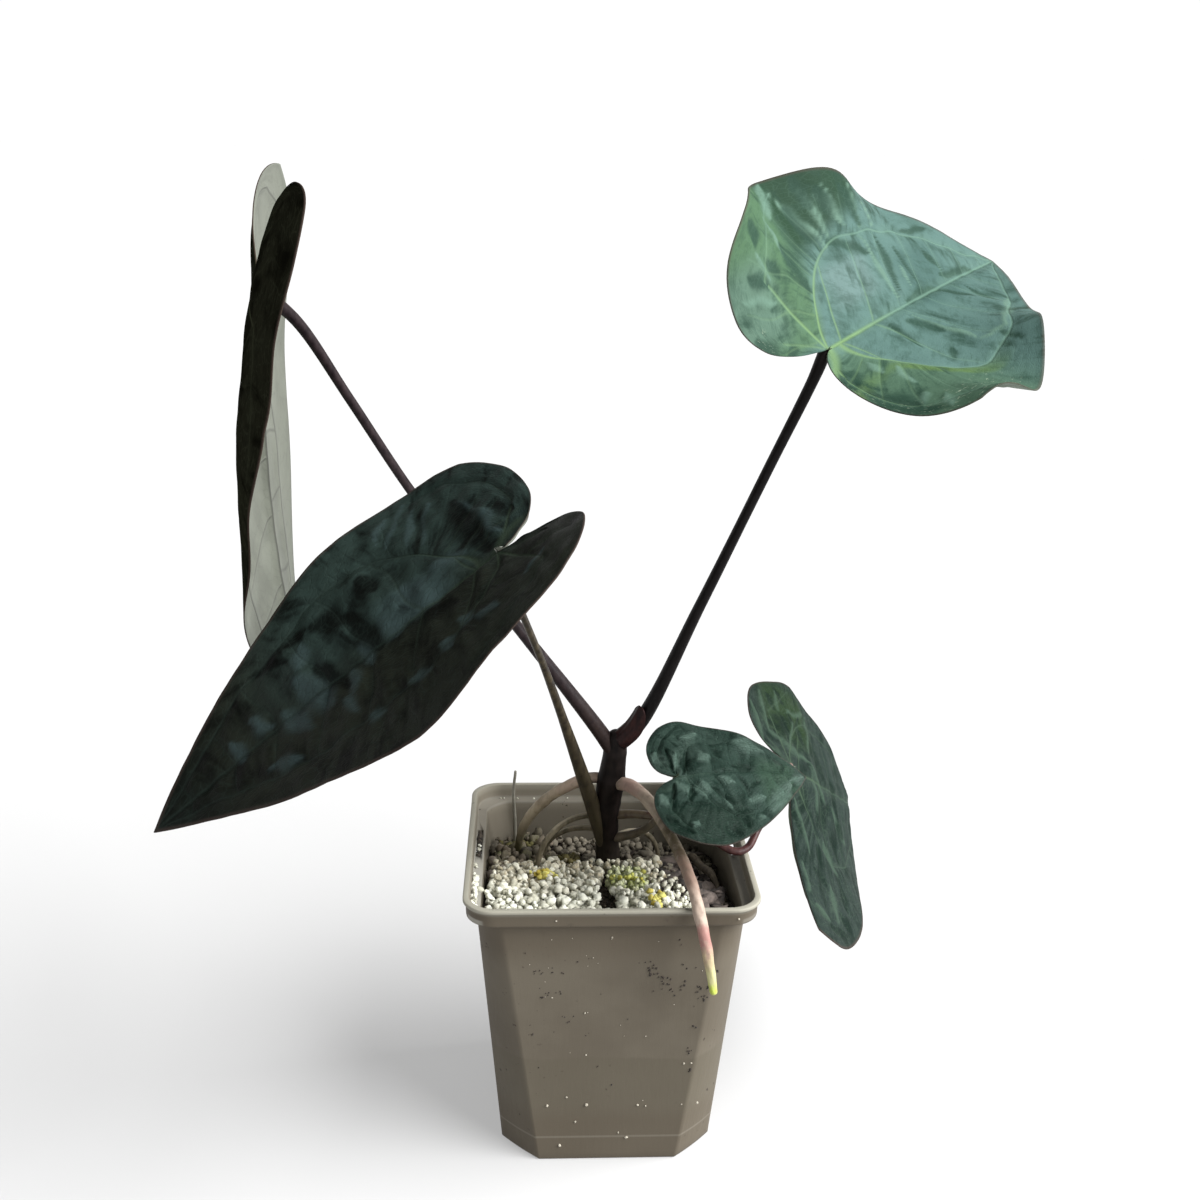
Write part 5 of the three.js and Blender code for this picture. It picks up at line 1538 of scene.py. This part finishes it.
DARK_SPECKS = [
    (12.5, 83.5, 1.8, 1.8, 5, 0.36), (15.0, 80.0, 2.2, 2.2, 9, 0.42), (18.5, 76.0, 2.5, 2.2, 9, 0.4),
    (22.0, 72.0, 2, 1.8, 6, 0.4), (31, 73, 2.6, 2.2, 12, 0.42), (31.5, 68.5, 2, 1.8, 7, 0.38),
    (24.5, 75.5, 1, 1.5, 3, 0.4), (29.1, 57.0, 0.8, 0.8, 4, 0.45), (28.0, 48.2, 0.9, 2, 6, 0.42),
    (28.0, 38.8, 0.6, 0.6, 3, 0.45), (-21.4, 71.7, 1, 0.8, 3, 0.4), (-24.0, 70.3, 0.8, 0.5, 2, 0.4),
    (-18.2, 72.4, 1.6, 0.7, 4, 0.35), (-11.3, 84.5, 0.4, 0.4, 2, 0.4), (-26.7, 54.9, 0.4, 0.3, 2, 0.6),
    (-24.6, 41.0, 0.3, 0.3, 1, 0.5), (-4.4, 40.7, 1, 0.5, 2, 0.35), (1.1, 32.9, 0.3, 0.3, 1, 0.45),
    (-22, 80.6, 6, 0.7, 11, 0.34), (23.5, 92, 2, 2, 2, 0.35), (26, 81, 3, 3, 4, 0.33),
    (-14.2, 61.1, 2.5, 1.5, 5, 0.3), (35.5, 82, 1.5, 2, 4, 0.35), (0, 70, 30, 16, 14, 0.22)]


def grain_beds(stones):
    """Beds of grains by kind and region, from the front to the back."""
    white = stones["white_pumice"]
    grain_bed("white_grains", in_white, white,
              [(2.9, 1.3, 2.2, 1.0), (2.7, 1.0, 2.1, 3.0), (3.4, 0.8, 1.9, 4.4)], 31, ["pumice_grains"],
              creamier_at_the_back)
    grain_bed("pale_grains", in_pale, white, [(3.0, 0.8, 1.8, 3.6), (3.2, 0.7, 1.5, 5.0)], 35,
              tint=creamier_at_the_back)
    grain_bed("mossy_lumps", in_moss, stones["mossy_pumice"],
              [(2.6, 1.1, 1.9, 1.0), (2.4, 0.8, 1.7, 2.6), (2.9, 0.6, 1.4, 4.0)], 41, ["mossy_grains"],
              mostly_tinted)
    grain_bed("grey_lumps", in_grey, stones["grey_stone"],
              [(4.4, 2.0, 3.4, 1.2), (5.4, 1.6, 3.2, 4.2), (3.6, 0.6, 1.2, 3.6)], 51, ["grey_pumice"],
              seldom_tinted)
    grain_bed("bark_bed", in_bark_and_front_corner, bark_finish(),
              [(4.5, 3.0, 5.0, 0.8), (6.0, 3.4, 6.2, 2.6)], 61, ["bark_chips"], lying=(1.25, 0.75, 0.32))
    grain_bed("brown_crumbs", everywhere, stones["brown_crumbs"], [(2.5, 0.6, 1.3, 0.4)], 71,
              tint=only_in_gap)
    grain_bed("back_grit", at_the_back, stones["tan_grit"],
              [(3.6, 1.0, 2.2, 1.4), (4.4, 0.8, 2.4, 2.6)], 75)


def clusters_and_pebbles(stones):
    """Heaps of yellow and olive lumps, and long pebbles along the left and back."""
    clusters("yellow_lumps", [(-23, -9, 4.6, 30, 1.3, 0.05), (15.6, -31.5, 3.8, 30, 1.3, 0),
                              (8, -14, 6, 16, 1.0, 0.9)], stones["yellow_pumice"], 81, 4.2)
    clusters("olive_lumps", [(-13.5, 13, 5, 30, 1.5, 0.3), (-31, 31, 5.5, 24, 1.4, 0.8)],
             stones["olive_pumice"], 83, 3.4)
    x, y, tint = np.array(PEBBLES).T
    lumps("long_pebbles", np.stack([x, y, mix_height(x, y) + 3.2], -1), np.full(len(x), 2.5),
          stones["tan_grit"], 77, cuts=2, rough=0.12, flat=0.15, tint=tint,
          lying=(1.5, 0.85, 0.85))


def ledge_and_slot(stones):
    """Grains along the left and back ledge, near-black crumbs that fill the left slot, and grains that lie on
    it.
    """
    white = stones["white_pumice"]
    random = np.random.default_rng(91)
    count, at_left = 64, 58
    size = random.uniform(0.5, 1.3, count)
    left = np.arange(count) < at_left
    x = np.where(left, -46.6 + random.uniform(-0.7, 0.6, count), random.uniform(-40, -10, count))
    y = np.where(left, -41 + 34 * random.uniform(0, 1, count) ** 2, 46.4 + random.uniform(-0.4, 0.4, count))
    size = np.where(left, size, 0.4)
    lumps("ledge_grains", np.stack([x, y, LEDGE_TOP + size * 0.6], -1), size, white, 92)
    # Near-black crumbs packed in the left slot, so that it looks dark.
    along = np.linspace(-0.5, 0.5, 26)
    soil = np.stack([-LEDGE_MIDDLE + 0 * along, POT["slot_y"] + POT["slot_length"] * along * 0.96,
                     UNDER_COLLAR + 0.6 + 0.5 * np.sin(9 * along)], -1)
    lumps("slot_dark_fill", soil, np.full(len(soil), 1.05), stones["brown_crumbs"], 93, flat=0.2,
          tint=1)
    count = 9
    grains = np.stack([-LEDGE_MIDDLE + random.uniform(-0.5, 0.5, count), random.uniform(-1, 9, count),
                       np.full(count, LEDGE_TOP)], -1)
    lumps("slot_grains", grains, random.uniform(0.35, 0.7, count), white, 94)


def beds():
    """The mix, all that lies on it and on the ledge, and the specks on the pot's outside."""
    mix_body(mix_finish())
    stones = {name: stone_finish(name, *look) for name, look in STONES.items()}
    grain_beds(stones)
    clusters_and_pebbles(stones)
    ledge_and_slot(stones)
    wall_specks("pale_specks", PALE_SPECKS, stones["cream_grit"], 95)
    wall_specks("dark_specks", DARK_SPECKS, stones["soil_specks"], 97)


aim_camera()
studio()
pot_shell(plastic_finish())
beds()
stems_and_roots()
sheath()
leaves()
